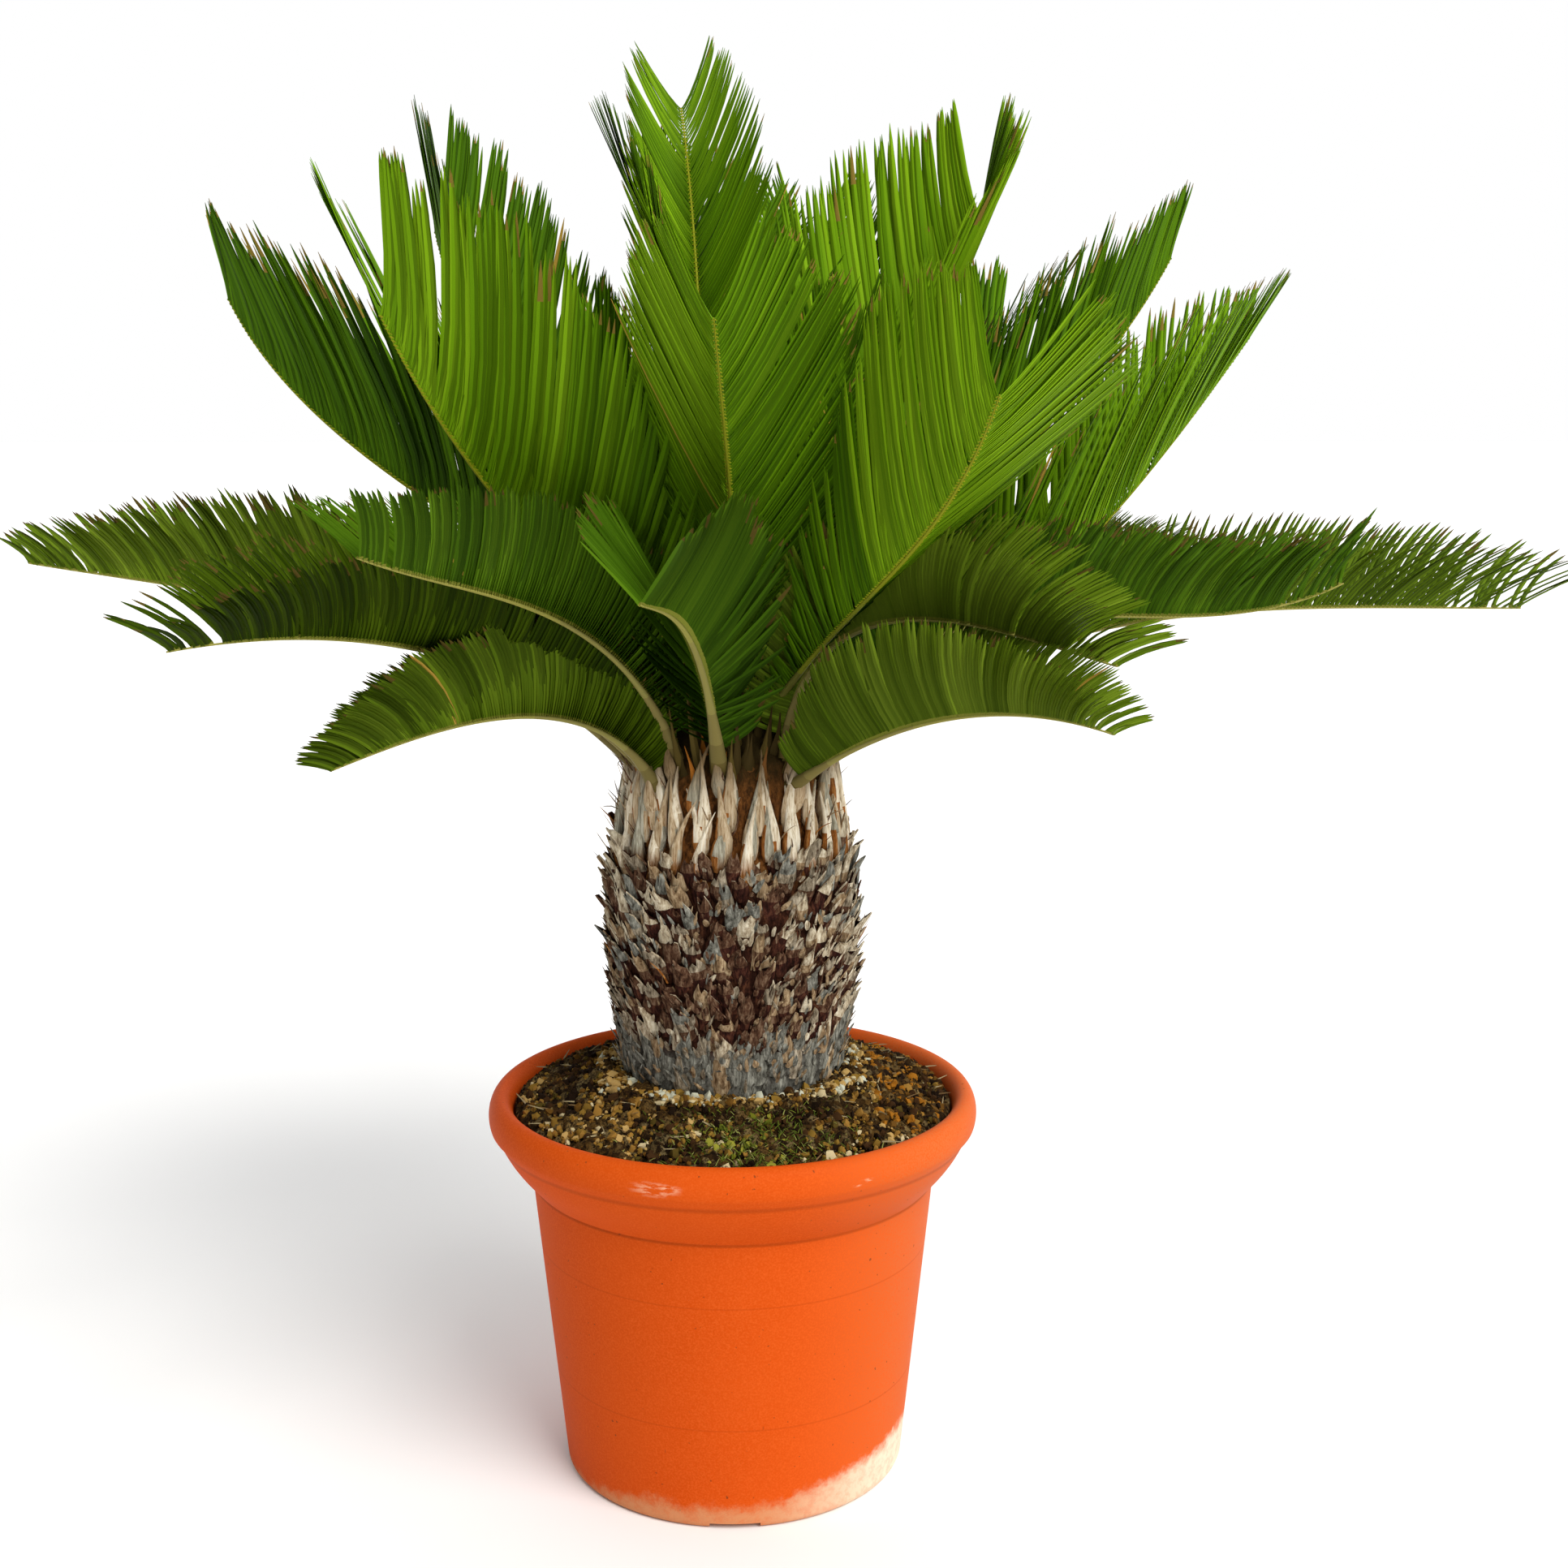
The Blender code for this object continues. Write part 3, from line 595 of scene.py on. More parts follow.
def leaflet_chunk(tier, number, frond, hand, line, draw, seeds):
    """One row of leaflets along a rib, as the source's teeth but many more."""
    count = tier.blades
    clump, offset = clump_rows(count, draw)
    clumps = clump[-1] + 1

    def shifts(clump_spread, leaf_spread):
        uneven = seeds.normal(0.0, clump_spread, clumps)[clump]
        return tier.unevenness * (uneven + seeds.normal(0.0, leaf_spread, count))

    sweep_shift = shifts(*SWEEP_SPREADS)
    keel_shift = shifts(*KEEL_SPREADS)
    stretch = 1.0 + seeds.uniform(*CLUMP_STRETCH, clumps)[clump]
    stretch = stretch + seeds.uniform(*LEAF_STRETCH, count) - CLUMP_TAPER * np.abs(offset)
    stretch = stretch - (FRAY * (number in tier.frayed)) * seeds.random(count) ** 3
    pull = seeds.uniform(0.0, CLUMP_PULL, clumps)[clump] ** 1.5
    broken = seeds.random(count) < BROKEN_SHARE
    stretch = np.where(broken, stretch * seeds.uniform(*BROKEN_PART, count), stretch)
    shifted = seeds.uniform(-SPACING_SHIFT, SPACING_SHIFT, count)
    first = tier.bare * STEM_LEAVES
    part = first + (1.0 - first) * ((np.arange(count) + 0.5 + shifted) / count)
    bladed = (part - tier.bare) / (1.0 - tier.bare)
    below = np.minimum(bladed, 0.0)
    bladed = np.maximum(bladed, 0.0)
    loose = LOOSE.get((tier.name, number), HELD)
    stray = np.clip(1.0 - bladed / STRAY_REACH, 0.0, 1.0) ** 1.5 * seeds.uniform(0.0, loose, count)
    sweep_shift += tier.stray_sweep * stray * seeds.choice((-0.5, 1.0, 1.0), count)
    keel_shift -= tier.stray_drop * stray
    centre, along, side, normal = at(line, part)
    sweep = np.radians(through(tier.sweep, bladed) + sweep_shift)
    keel = np.radians(through(tier.keel, bladed) + keel_shift)
    outward = side * (hand * np.cos(keel))[:, None] + normal * np.sin(keel)[:, None]

    def heading(angle):
        return along * np.cos(angle)[:, None] + outward * np.sin(angle)[:, None]

    rule = leaf_length(tier, frond, bladed) * (1.0 + STEM_FALL * below)
    stretch = stretch * SCALED.get((tier.name, number), 1.0)
    short_foot = SHORT_FOOT.get((tier.name, number, hand), 1.0)
    stretch = stretch * np.interp(bladed, SHORT_FOOT_SPAN, (short_foot, 1.0))
    length = (rule * stretch)[:, None]
    half_width = between(RIB_HALF_WIDTH, part) * tier.rib_slim
    thickness = between(RIB_THICKNESS, part) * tier.rib_slim
    root = centre + side * (hand * half_width * ROOT_ACROSS)[:, None]
    root = root + normal * (thickness * ROOT_UP)[:, None]
    pitch = frond.length * (1.0 - first) / count
    tip = root + heading(sweep) * length - along * (offset * pitch * pull)[:, None]
    elbow = root + heading(sweep + np.radians(tier.bend)) * length * tier.elbow
    places, widths, depths = columns(tier.stations)
    path, ahead, rise = bent(root, elbow, tip, normal, places)
    turned = ROLLED.get((tier.name, number, hand), ROLL)
    roll = np.radians(seeds.normal(turned, ROLL_SPREAD, count) * hand)[:, None, None]
    rise = rise * np.cos(roll) + np.cross(ahead, rise) * np.sin(roll)
    breadth = BREADTH_KEPT + BREADTH_GROWN * rule / (tier.leaf * frond.size)
    width = tier.width / 2 * frond.size * breadth
    across = np.cross(rise, ahead) * width[:, None, None] * widths
    up = rise * BLADE_DEPTH * depths
    tint = leaf_colours(tier, number, hand, clump, bladed, seeds)
    missing = np.where(bladed > tier.thin_end, THIN_SHARE, MISSING_SHARE)
    keep = seeds.random(count) > missing
    return loft(path[keep], across[keep], up[keep], EDGED, tint[keep])


def make_fronds(tier, fronds):
    """One tier: a piece of all its ribs, and pieces of leaflets, a few fronds to each."""
    nodes = ["%s_frond_%02d" % (tier.name, i + 1) for i in range(len(fronds))]
    darker = [tuple(value * SHADE_DARKER for value in green) for green in tier.greens]
    leaf_materials = plains(tier.name + "_green", list(tier.greens) + darker, LEAF_ROUGHNESS,
                            LEAF_GLOSS)
    leaf_materials += [plain(tier.name + "_leaf_foot", tier.leaf_foot, 0.5, RIB_GLOSS),
                       plain(tier.name + "_dry_tip", tier.dry_tip, 0.7, LEAF_GLOSS),
                       plain(tier.name + "_golden_leaf", GOLDEN, 0.6, LEAF_GLOSS)]
    draw = random.Random(SEED + len(fronds))
    seeds = np.random.default_rng(SEED + len(fronds))
    lines = [rib_line(frond) for frond in fronds]
    joined(tier.name + "_ribs", [rib_chunk(line, tier.rib_slim) for line in lines],
           plains(tier.name + "_rib", tier.rib_colours, 0.5, RIB_GLOSS), nodes)
    for first in range(0, len(fronds), FRONDS_A_PIECE):
        chunks = [leaflet_chunk(tier, i, fronds[i], hand, lines[i], draw, seeds)
                  for i in range(first, min(first + FRONDS_A_PIECE, len(fronds)))
                  for hand in (1, -1)]
        name = "%s_leaflets_%d" % (tier.name, first // FRONDS_A_PIECE + 1)
        joined(name, chunks, leaf_materials)


# Pot

POT_STEPS = 144
POT_SHARP = 32.0
COLLAR_STEPS = 9
BODY_STEPS = 24


def arc(centre, half_width, half_height, start, end, steps):
    """Points on an upright ellipse, from one angle in degrees to another."""
    points = []
    for i in range(steps + 1):
        angle = math.radians(start + (end - start) * i / steps)
        points.append((centre[0] + half_width * math.cos(angle),
                       centre[1] + half_height * math.sin(angle)))
    return points


def slope(start, end, steps, bulge=0.0):
    """Points from one place to another, without the ends, that can bulge outwards."""
    points = []
    for i in range(1, steps):
        part = i / steps
        points.append((start[0] + (end[0] - start[0]) * part + bulge * math.sin(math.pi * part),
                       start[1] + (end[1] - start[1]) * part))
    return points


def pot_profile():
    """The pot's outline as (radius, height), from its inner floor round to its underside."""
    bead = (RIM_RADIUS - BEAD_HALF_WIDTH, RIM_LEVEL)
    step = (STEP_RADIUS, STEP_LEVEL)
    under_step = (STEP_RADIUS - STEP_DEPTH, STEP_LEVEL - STEP_DEPTH)
    foot = (FOOT_RADIUS - FOOT_ROUND, FOOT_ROUND)
    inside = [(0.0, FLOOR), (FOOT_RADIUS - WALL, FLOOR), (under_step[0] - WALL, STEP_LEVEL - WALL),
              (RIM_RADIUS - 2 * BEAD_HALF_WIDTH - INNER_LEDGE, BEAD_FOOT[1] - WALL)]
    return (inside + arc(bead, BEAD_HALF_WIDTH, BEAD_HALF_HEIGHT, 180, -30, 20)
            + [BEAD_FOOT] + slope(BEAD_FOOT, step, COLLAR_STEPS, COLLAR_BULGE) + [step, under_step]
            + slope(under_step, (FOOT_RADIUS, FOOT_ROUND), BODY_STEPS)
            + arc(foot, FOOT_ROUND, FOOT_ROUND, 0, -90, 6) + [(0.0, 0.0)])


def spun(profile, steps):
    """A bmesh turned round Z from (radius, height) points."""
    bm = bmesh.new()
    verts = [bm.verts.new((radius, 0.0, height)) for radius, height in profile]
    edges = [bm.edges.new(pair) for pair in zip(verts, verts[1:])]
    bmesh.ops.spin(bm, geom=verts + edges, axis=(0, 0, 1), cent=(0, 0, 0), angle=2 * math.pi,
                   steps=steps, use_merge=True)
    bmesh.ops.remove_doubles(bm, verts=bm.verts, dist=0.00002)
    bmesh.ops.recalc_face_normals(bm, faces=bm.faces)
    return bm


# Wear on the pot: the place, radius and soft edge of each long pale scuff
SCUFFS = (
    ((-0.0440, -0.1440, 0.2262), 0.0060, 0.0120), ((-0.0350, -0.1455, 0.2275), 0.0025, 0.0060),
    ((0.0690, -0.1325, 0.2238), 0.0010, 0.0030), ((0.0745, -0.1300, 0.2256), 0.0016, 0.0040),
)
SCUFF_STRETCH = (1.0, 1.0, 3.2)
SCUFF_PART = 0.45
# Dark lines round the pot: height, half the core's width, half the width, strength and colour. The
# mould left two on the body, and the two under the step and under the rolled rim are painted
# shade.
MOULD_LINE = (0.40, 0.045, 0.003)
PAINTED_LEDGE_SHADE = (0.22, 0.030, 0.003)
DARK_LINES = (
    (0.1445, 0.00028, 0.0007, 0.35, MOULD_LINE), (0.0655, 0.00028, 0.0007, 0.35, MOULD_LINE),
    (0.1845, 0.0, 0.0017, 0.50, PAINTED_LEDGE_SHADE), (0.2134, 0.0, 0.0026, 0.34, PAINTED_LEDGE_SHADE),
)


def pot_material():
    """Orange plastic, paler towards the right with painted sheen, scuffed, with painted shade
    under the step and the rolled rim and a lime stain at its foot.
    """
    pattern = Pattern("orange_pot_plastic", (0.56, 0.066, 0.004), 0.55, 0.03)
    cloudy = pattern.noise(9.0, 3.0)
    speckle = pattern.noise(900.0, 2.0)
    x, y, z = pattern.axes()
    colour = pattern.ramp(cloudy, (0.3, (0.545, 0.063, 0.003)), (0.7, (0.59, 0.074, 0.005)))
    across = pattern.math("DIVIDE", x, FOOT_RADIUS)
    # Painted sheen: paler and greyer towards the right, the side towards the light
    painted_sheen = pattern.range(across, 0.20, 1.30, 0.0, 0.75)
    colour = pattern.mix(painted_sheen, colour, (0.60, 0.145, 0.038))
    colour = pattern.mix(pattern.range(speckle, 0.35, 0.75), colour, (0.63, 0.092, 0.010))
    for level, core, half_width, strength, dark in DARK_LINES:
        away = pattern.math("ABSOLUTE", pattern.math("SUBTRACT", z, level))
        line = pattern.range(away, core, half_width, strength, 0.0)
        colour = pattern.mix(line, colour, dark)
    specks = pattern.range(pattern.noise(330.0, 1.0), 0.75, 0.79, 0.0, 0.75)
    colour = pattern.mix(specks, colour, (0.16, 0.040, 0.010))
    worn = pattern.range(pattern.noise(330.0, 4.0, 0.65, (0.45, 0.45, 1.6)), 0.44, 0.60)
    for place, radius, reach in SCUFFS:
        near = pattern.near(place, radius, reach, SCUFF_STRETCH)
        scuff = pattern.math("MULTIPLY", pattern.math("MULTIPLY", near, SCUFF_PART), worn)
        colour = pattern.mix(scuff, colour, (0.84, 0.50, 0.31))
    # The stain stands higher in the middle than on the left, and highest on the right
    left = pattern.range(across, -0.95, -0.45)
    right = pattern.range(across, 0.05, 0.95)
    ragged = pattern.math("MULTIPLY_ADD", pattern.noise(75.0, 6.0, 0.72), 0.022, -0.011)
    start = pattern.math("MULTIPLY_ADD", left, 0.010, 0.005)
    height = pattern.math("ADD", pattern.math("MULTIPLY_ADD", right, 0.016, start), ragged)
    lime = pattern.math("SUBTRACT", 1.0, pattern.range(pattern.math("SUBTRACT", z, height),
                                                       -0.007, 0.004))
    amount = pattern.math("MULTIPLY", lime, pattern.math("MULTIPLY_ADD", right, 0.40, 0.54))
    blotches = pattern.range(pattern.noise(160.0, 4.0, 0.7), 0.36, 0.58, 0.76, 1.0)
    amount = pattern.math("MULTIPLY", amount, blotches)
    chalk = pattern.mix(right, (0.58, 0.38, 0.19), (0.78, 0.68, 0.52))
    pattern.give("Base Color", pattern.mix(amount, colour, chalk))
    pattern.give("Roughness", pattern.ramp(cloudy, (0.2, 0.48), (0.8, 0.60)))
    pattern.bump(speckle, 0.0002, 0.25)
    return pattern.material


def make_pot():
    """The pot, turned from its profile, with its notches cut one by one."""
    pot = linked("palm_pot", mesh_of(spun(pot_profile(), POT_STEPS), "palm_pot"))
    for i in range(NOTCH_COUNT):
        angle = -math.pi / 2 + 2 * math.pi * i / NOTCH_COUNT
        box = bmesh.new()
        bmesh.ops.create_cube(box, size=1.0)
        bmesh.ops.scale(box, vec=(2 * NOTCH_DEPTH, NOTCH_WIDTH, 2 * NOTCH_HEIGHT), verts=box.verts)
        bmesh.ops.translate(box, vec=(FOOT_RADIUS, 0.0, 0.0), verts=box.verts)
        bmesh.ops.rotate(box, cent=(0, 0, 0), matrix=Matrix.Rotation(angle, 3, "Z"),
                         verts=box.verts)
        cutter = linked("notch", mesh_of(box, "notch"))
        cut = pot.modifiers.new("Notch", "BOOLEAN")
        cut.operation = "DIFFERENCE"
        cut.object = cutter
        bpy.context.view_layer.update()
        finished = bpy.data.meshes.new_from_object(
            pot.evaluated_get(bpy.context.evaluated_depsgraph_get()))
        pot.modifiers.clear()
        pot.data = finished
        bpy.data.objects.remove(cutter)
    mesh = pot.data
    bpy.data.objects.remove(pot)
    mesh.materials.clear()
    mesh.materials.append(pot_material())
    mesh.shade_smooth()
    mesh.set_sharp_from_angle(angle=math.radians(POT_SHARP))
    mesh.name = "palm_pot"
    placed("palm_pot", mesh, ("pot",))


# Soil

SOIL_EDGE = RIM_RADIUS - 2 * BEAD_HALF_WIDTH - 0.0012
SOIL_EDGE_ROUND = 0.004
SOIL_EDGE_DROP = 0.003
SOIL_START = 0.55 * SEAT_RADIUS
SOIL_SEAT_LEVEL = SOIL_TOP - 0.001
SOIL_RINGS = 56
SOIL_TURNS = 260
# Lumps in the soil: height, fineness and octaves of each pattern
SOIL_LUMPS = ((0.0046, 70.0, 4), (0.0026, 260.0, 2))
# Each octave of a lump is this much finer than the last one, and lower by this power of it
OCTAVE_STEP = 2.1
OCTAVE_FALL = 0.6


def soil_level(radius):
    """Height of the soil's surface at a distance from the trunk's middle."""
    places = (0.0, SEAT_RADIUS, MOUND_FOOT_RADIUS, SOIL_EDGE - SOIL_EDGE_ROUND, SOIL_EDGE)
    levels = (SOIL_SEAT_LEVEL, SOIL_SEAT_LEVEL, MOUND_FOOT_LEVEL, SOIL_EDGE_LEVEL,
              SOIL_EDGE_LEVEL - SOIL_EDGE_DROP)
    return float(np.interp(radius, places, levels))


def relief(place, patterns):
    """Height of the lumps at a place, from (height, fineness, octaves) of each pattern."""
    return sum(height * noise.fractal(Vector(place) * fineness, OCTAVE_FALL, OCTAVE_STEP, octaves)
               for height, fineness, octaves in patterns)


def soil_material():
    pattern = Pattern("potting_soil", (0.06, 0.045, 0.03), 0.95, 0.05)
    fine = pattern.noise(420.0, 3.0, 0.7)
    patches = pattern.ramp(pattern.noise(30.0, 5.0, 0.65), (0.36, (0.010, 0.005, 0.002)),
                           (0.48, (0.046, 0.021, 0.006)), (0.58, (0.130, 0.066, 0.014)),
                           (0.70, (0.24, 0.15, 0.05)))
    clods = pattern.ramp(pattern.cells(240.0), (0.2, (0.008, 0.005, 0.002)),
                         (0.55, (0.07, 0.038, 0.010)), (0.85, (0.26, 0.19, 0.08)))
    colour = pattern.mix(0.5, patches, clods)
    colour = pattern.mix(pattern.range(fine, 0.35, 0.6), (0.008, 0.004, 0.002), colour)
    pattern.give("Base Color", colour)
    pattern.bump(fine, 0.002, 0.8)
    return pattern.material


def make_soil():
    """The lumpy bed of soil, from under the trunk to the pot's wall."""
    radii = [SOIL_START + (SOIL_EDGE - SOIL_START) * i / SOIL_RINGS for i in range(SOIL_RINGS + 1)]
    bottom = BEAD_FOOT[1] - 2 * WALL
    bm = spun([(0.0, SOIL_SEAT_LEVEL)] + [(radius, soil_level(radius)) for radius in radii]
              + [(SOIL_EDGE, BEAD_FOOT[1] + WALL), (SOIL_EDGE - 0.006, bottom), (0.0, bottom)],
              SOIL_TURNS)
    for vert in bm.verts:
        loose = math.hypot(vert.co.x, vert.co.y) < SOIL_EDGE - 0.0015
        if loose and vert.co.z > BEAD_FOOT[1] + 2 * WALL:
            vert.co.z += relief(vert.co, SOIL_LUMPS)
    mesh = mesh_of(bm, "soil_bed", soil_material())
    mesh.shade_smooth()
    placed("soil_bed", mesh, ("soil",))


GRIT_COLOURS = (
    (0.012, 0.006, 0.003), (0.040, 0.018, 0.006), (0.115, 0.053, 0.009), (0.26, 0.135, 0.026),
    (0.42, 0.27, 0.092), (0.56, 0.46, 0.26), (0.068, 0.045, 0.008), (0.48, 0.48, 0.37),
    (0.29, 0.112, 0.010), (0.21, 0.120, 0.020), (0.120, 0.125, 0.010), (0.24, 0.23, 0.028),
)
# The colours of each part of the soil, from dark to pale
DARK_GRIT = (0, 0, 0, 0, 1, 1, 1, 2, 6, 9)
MIXED_GRIT = (0, 0, 1, 1, 1, 2, 6, 9, 3, 4)
STRAW_GRIT = (0, 1, 2, 9, 3, 3, 9, 4, 4, 5)
PALE_GRIT = (1, 2, 9, 3, 4, 4, 7, 5, 7, 5)
RUSTY_GRIT = (0, 1, 1, 2, 2, 8, 8, 8, 3, 3)
MOSSY_GRIT = (0, 1, 6, 10, 9, 9, 11, 3, 4, 5)
MOSS_PLACE = (0.010, -0.110)
PEBBLE_RELIEF = 0.65
PEBBLE_FINENESS = 1.7
PEBBLE_FLATNESS = 0.75
# Grains lie from the trunk's foot to near the pot's wall: their count for each shape of
# pebble, their logarithmic mean size and its spread, and the largest size
GRIT_START = 0.068
GRIT_END = RIM_RADIUS - 2 * BEAD_HALF_WIDTH - 0.004
GRIT_SHAPES = 6
GRIT_COUNT = 880
GRIT_SIZE = (-6.62, 0.45)
GRIT_LARGEST = 0.0036
# The paler ring of grains heaped at the trunk's foot
RING_END = 0.083
RING_COUNT = 760
RING_SIZE = (-6.85, 0.40)
RING_SHADES = (4, 4, 5, 7, 3, 3, 9, 2)


def grit_of(x, y):
    """The colours to choose from at a place on the soil."""
    radius = math.hypot(x, y)
    patch = noise.noise(Vector((x * 45.0, y * 45.0, 4.0)))
    broad = noise.noise(Vector((x * 20.0, y * 20.0, 9.0)))
    if radius < 0.085 + 0.010 * patch:
        return PALE_GRIT
    if math.hypot(x - MOSS_PLACE[0], (y - MOSS_PLACE[1]) * 1.2) < 0.028 + 0.020 * patch:
        return MOSSY_GRIT
    if x > 0.085 and y > -0.075 and patch > -0.25:
        return RUSTY_GRIT
    if x < 0.0 and y > -0.01 and patch < 0.3:
        return DARK_GRIT
    if patch + broad > 0.16:
        return STRAW_GRIT
    return DARK_GRIT if patch + broad < -0.12 else MIXED_GRIT


def pebble(divisions, seed):
    """An icosphere pushed about and flattened, as arrays of points and triangles."""
    bm = bmesh.new()
    bmesh.ops.create_icosphere(bm, subdivisions=divisions, radius=1.0)
    for vert in bm.verts:
        seen = noise.noise(vert.co * PEBBLE_FINENESS + Vector((seed, 0.0, seed * 2.0)))
        vert.co *= 1.0 + PEBBLE_RELIEF * seen
        vert.co.z *= PEBBLE_FLATNESS
    bm.verts.index_update()
    points = np.array([vert.co[:] for vert in bm.verts])
    faces = np.array([[vert.index for vert in face.verts] for face in bm.faces])
    bm.free()
    return points, faces


def random_axes(seeds, count, sizes):
    """Random turns as (copy, 3, 3) rows, each copy with its own size."""
    raw = seeds.normal(size=(count, 3, 3))
    x = unit(raw[:, 0])
    z = unit(np.cross(x, raw[:, 1]))
    y = np.cross(z, x)
    return np.stack([x, y, z], axis=1) * sizes[:, None, None]


def clump_shade(x, y, seeds):
    """0 for the darkest to 9 for the palest, much alike within a few millimetres."""
    clump = 0.5 + 0.85 * noise.noise(Vector((x * 150.0, y * 150.0, 1.0)))
    return int(min(9.0, max(0.0, 10.0 * clump + seeds.normal(0.0, 1.6))))


def scattered(seeds, count, near, far):
    """Random places on the soil: centres on its surface, between two radii."""
    radius = np.sqrt(seeds.uniform(near ** 2, far ** 2, count))
    angle = seeds.uniform(0, 2 * np.pi, count)
    level = np.array([soil_level(r) for r in radius])
    return np.stack([radius * np.cos(angle), radius * np.sin(angle), level], axis=-1)


def make_grit():
    """Clods and grains on the soil, with a ring of pale ones at the trunk's foot."""
    seeds = np.random.default_rng(SEED + 3)
    chunks = []
    for i in range(GRIT_SHAPES):
        centres = scattered(seeds, GRIT_COUNT, GRIT_START, GRIT_END)
        size = np.minimum(np.exp(seeds.normal(*GRIT_SIZE, GRIT_COUNT)), GRIT_LARGEST)
        centres[:, 2] += size * 0.15
        shade = np.array([grit_of(x, y)[clump_shade(x, y, seeds)] for x, y, z in centres])
        shape = pebble(1 if i < GRIT_SHAPES - 1 else 2, i * 3.1)
        chunks.append(copies(shape, centres, random_axes(seeds, GRIT_COUNT, size), shade))
    centres = scattered(seeds, RING_COUNT, GRIT_START, RING_END)
    size = np.exp(seeds.normal(*RING_SIZE, RING_COUNT))
    centres[:, 2] += size * 0.6
    shade = seeds.choice(RING_SHADES, RING_COUNT)
    chunks.append(copies(pebble(1, 9.0), centres, random_axes(seeds, RING_COUNT, size), shade))
    joined("soil_grit", chunks, plains("grit", GRIT_COLOURS, 0.9, 0.05), sharp=40.0)


MOSS_COLOURS = (
    (0.05, 0.07, 0.008), (0.10, 0.125, 0.014), (0.22, 0.23, 0.060),
    (0.30, 0.24, 0.13), (0.16, 0.095, 0.04),
)
# The moss grows round this bearing from the trunk, within a spread in radians
MOSS_BEARING = -math.pi / 2 + 0.10
MOSS_SPREAD = 0.24
MOSS_LIFT = 0.0012
# Strands of moss, then dry straws: count, distances from the trunk's middle, lengths,
# widths, how upright they are and colours
Strands = namedtuple("Strands", "count reach lengths widths upright tones")
MOSS = Strands(620, (0.086, 0.132), (0.0025, 0.0055), (0.0003, 0.0005), 0.8, (0, 0, 1, 1, 2))
STRAWS = Strands(130, (0.076, 0.131), (0.005, 0.013), (0.0004, 0.0008), 0.12, (3, 3, 4))


def make_moss():
    """Short green strands in the moss, and a few dry straws lying about."""
    seeds = np.random.default_rng(SEED + 4)
    places, tones, lengths = [], [], []
    for sort in (MOSS, STRAWS):
        centres = scattered(seeds, sort.count, *sort.reach)
        if sort is MOSS:
            turn = seeds.normal(MOSS_BEARING, MOSS_SPREAD, sort.count)
            radius = np.hypot(centres[:, 0], centres[:, 1])
            centres[:, 0] = radius * np.cos(turn)
            centres[:, 1] = radius * np.sin(turn)
        places.append(centres)
        tones.append(seeds.choice(sort.tones, sort.count))
        lengths.append(seeds.uniform(*sort.lengths, sort.count))
    root = np.concatenate(places)
    root[:, 2] += MOSS_LIFT
    upright = np.repeat((MOSS.upright, STRAWS.upright), (MOSS.count, STRAWS.count))[:, None]
    way = unit(seeds.normal(0.0, 1.0, root.shape) * (1.0, 1.0, 0.15))
    first = unit(way + np.array([0.0, 0.0, 1.0]) * upright * 1.6)
    last = unit(way + np.array([0.0, 0.0, 0.5]) * upright)
    thick = np.concatenate([seeds.uniform(*sort.widths, sort.count) for sort in (MOSS, STRAWS)])
    chunk = strands(root, first, last, upwards(root), (np.concatenate(lengths), thick, thick),
                    FIBRE, EDGED, np.concatenate(tones))
    joined("moss", [chunk], plains("moss", MOSS_COLOURS, 0.9, 0.05))


# Trunk

GOLDEN_TURN = math.radians(137.508)
# Leaf bases: how many, between which heights, how far each strays from its place, and
# the height up to which they are worn and grey
BASE_COUNT = 430
BASE_SPAN = (0.250, 0.386)
BASE_STRAY = 0.0018
BAND_TOP = 0.284
MEAN_RADIUS = 0.072
CORE_COLUMNS = 300
CORE_ROWS = 150
# The part of the core's rows below its dome, how far its barrel is sunk behind the leaf
# bases, and its lumps
CORE_BARREL = 0.80
CORE_SUNK = 0.0038
CORE_LUMPS = ((0.0022, 130.0, 3), (0.0012, 420.0, 2))
DOME_REACH = 84.0


def trunk_radius(height):
    outline = np.array(TRUNK_OUTLINE)
    return np.interp(height, outline[:, 0], outline[:, 1])


def core_material():
    """Dark wood between the leaf bases, greyer near the soil and woolly at the crown."""
    pattern = Pattern("old_bark", (0.05, 0.02, 0.01), 0.95, 0.05)
    x, y, z = pattern.axes()
    streaks = pattern.noise(300.0, 4.0, 0.7, (1.0, 1.0, 0.35))
    pit = pattern.ramp(streaks, (0.34, (0.007, 0.003, 0.002)), (0.52, (0.036, 0.012, 0.007)),
                       (0.72, (0.11, 0.042, 0.020)))
    worn = pattern.ramp(streaks, (0.34, (0.030, 0.026, 0.020)), (0.66, (0.17, 0.165, 0.14)))
    woolly = pattern.ramp(streaks, (0.38, (0.045, 0.018, 0.006)), (0.58, (0.18, 0.066, 0.016)),
                          (0.76, (0.36, 0.17, 0.055)))
    colour = pattern.mix(pattern.range(z, BAND_TOP - 0.012, BAND_TOP), worn, pit)
    colour = pattern.mix(pattern.range(z, 0.372, 0.386), colour, woolly)
    colour = pattern.mix(pattern.range(z, 0.425, 0.455), colour, (0.030, 0.020, 0.006))
    pattern.give("Base Color", colour)
    pattern.bump(streaks, 0.0015, 0.7)
    return pattern.material


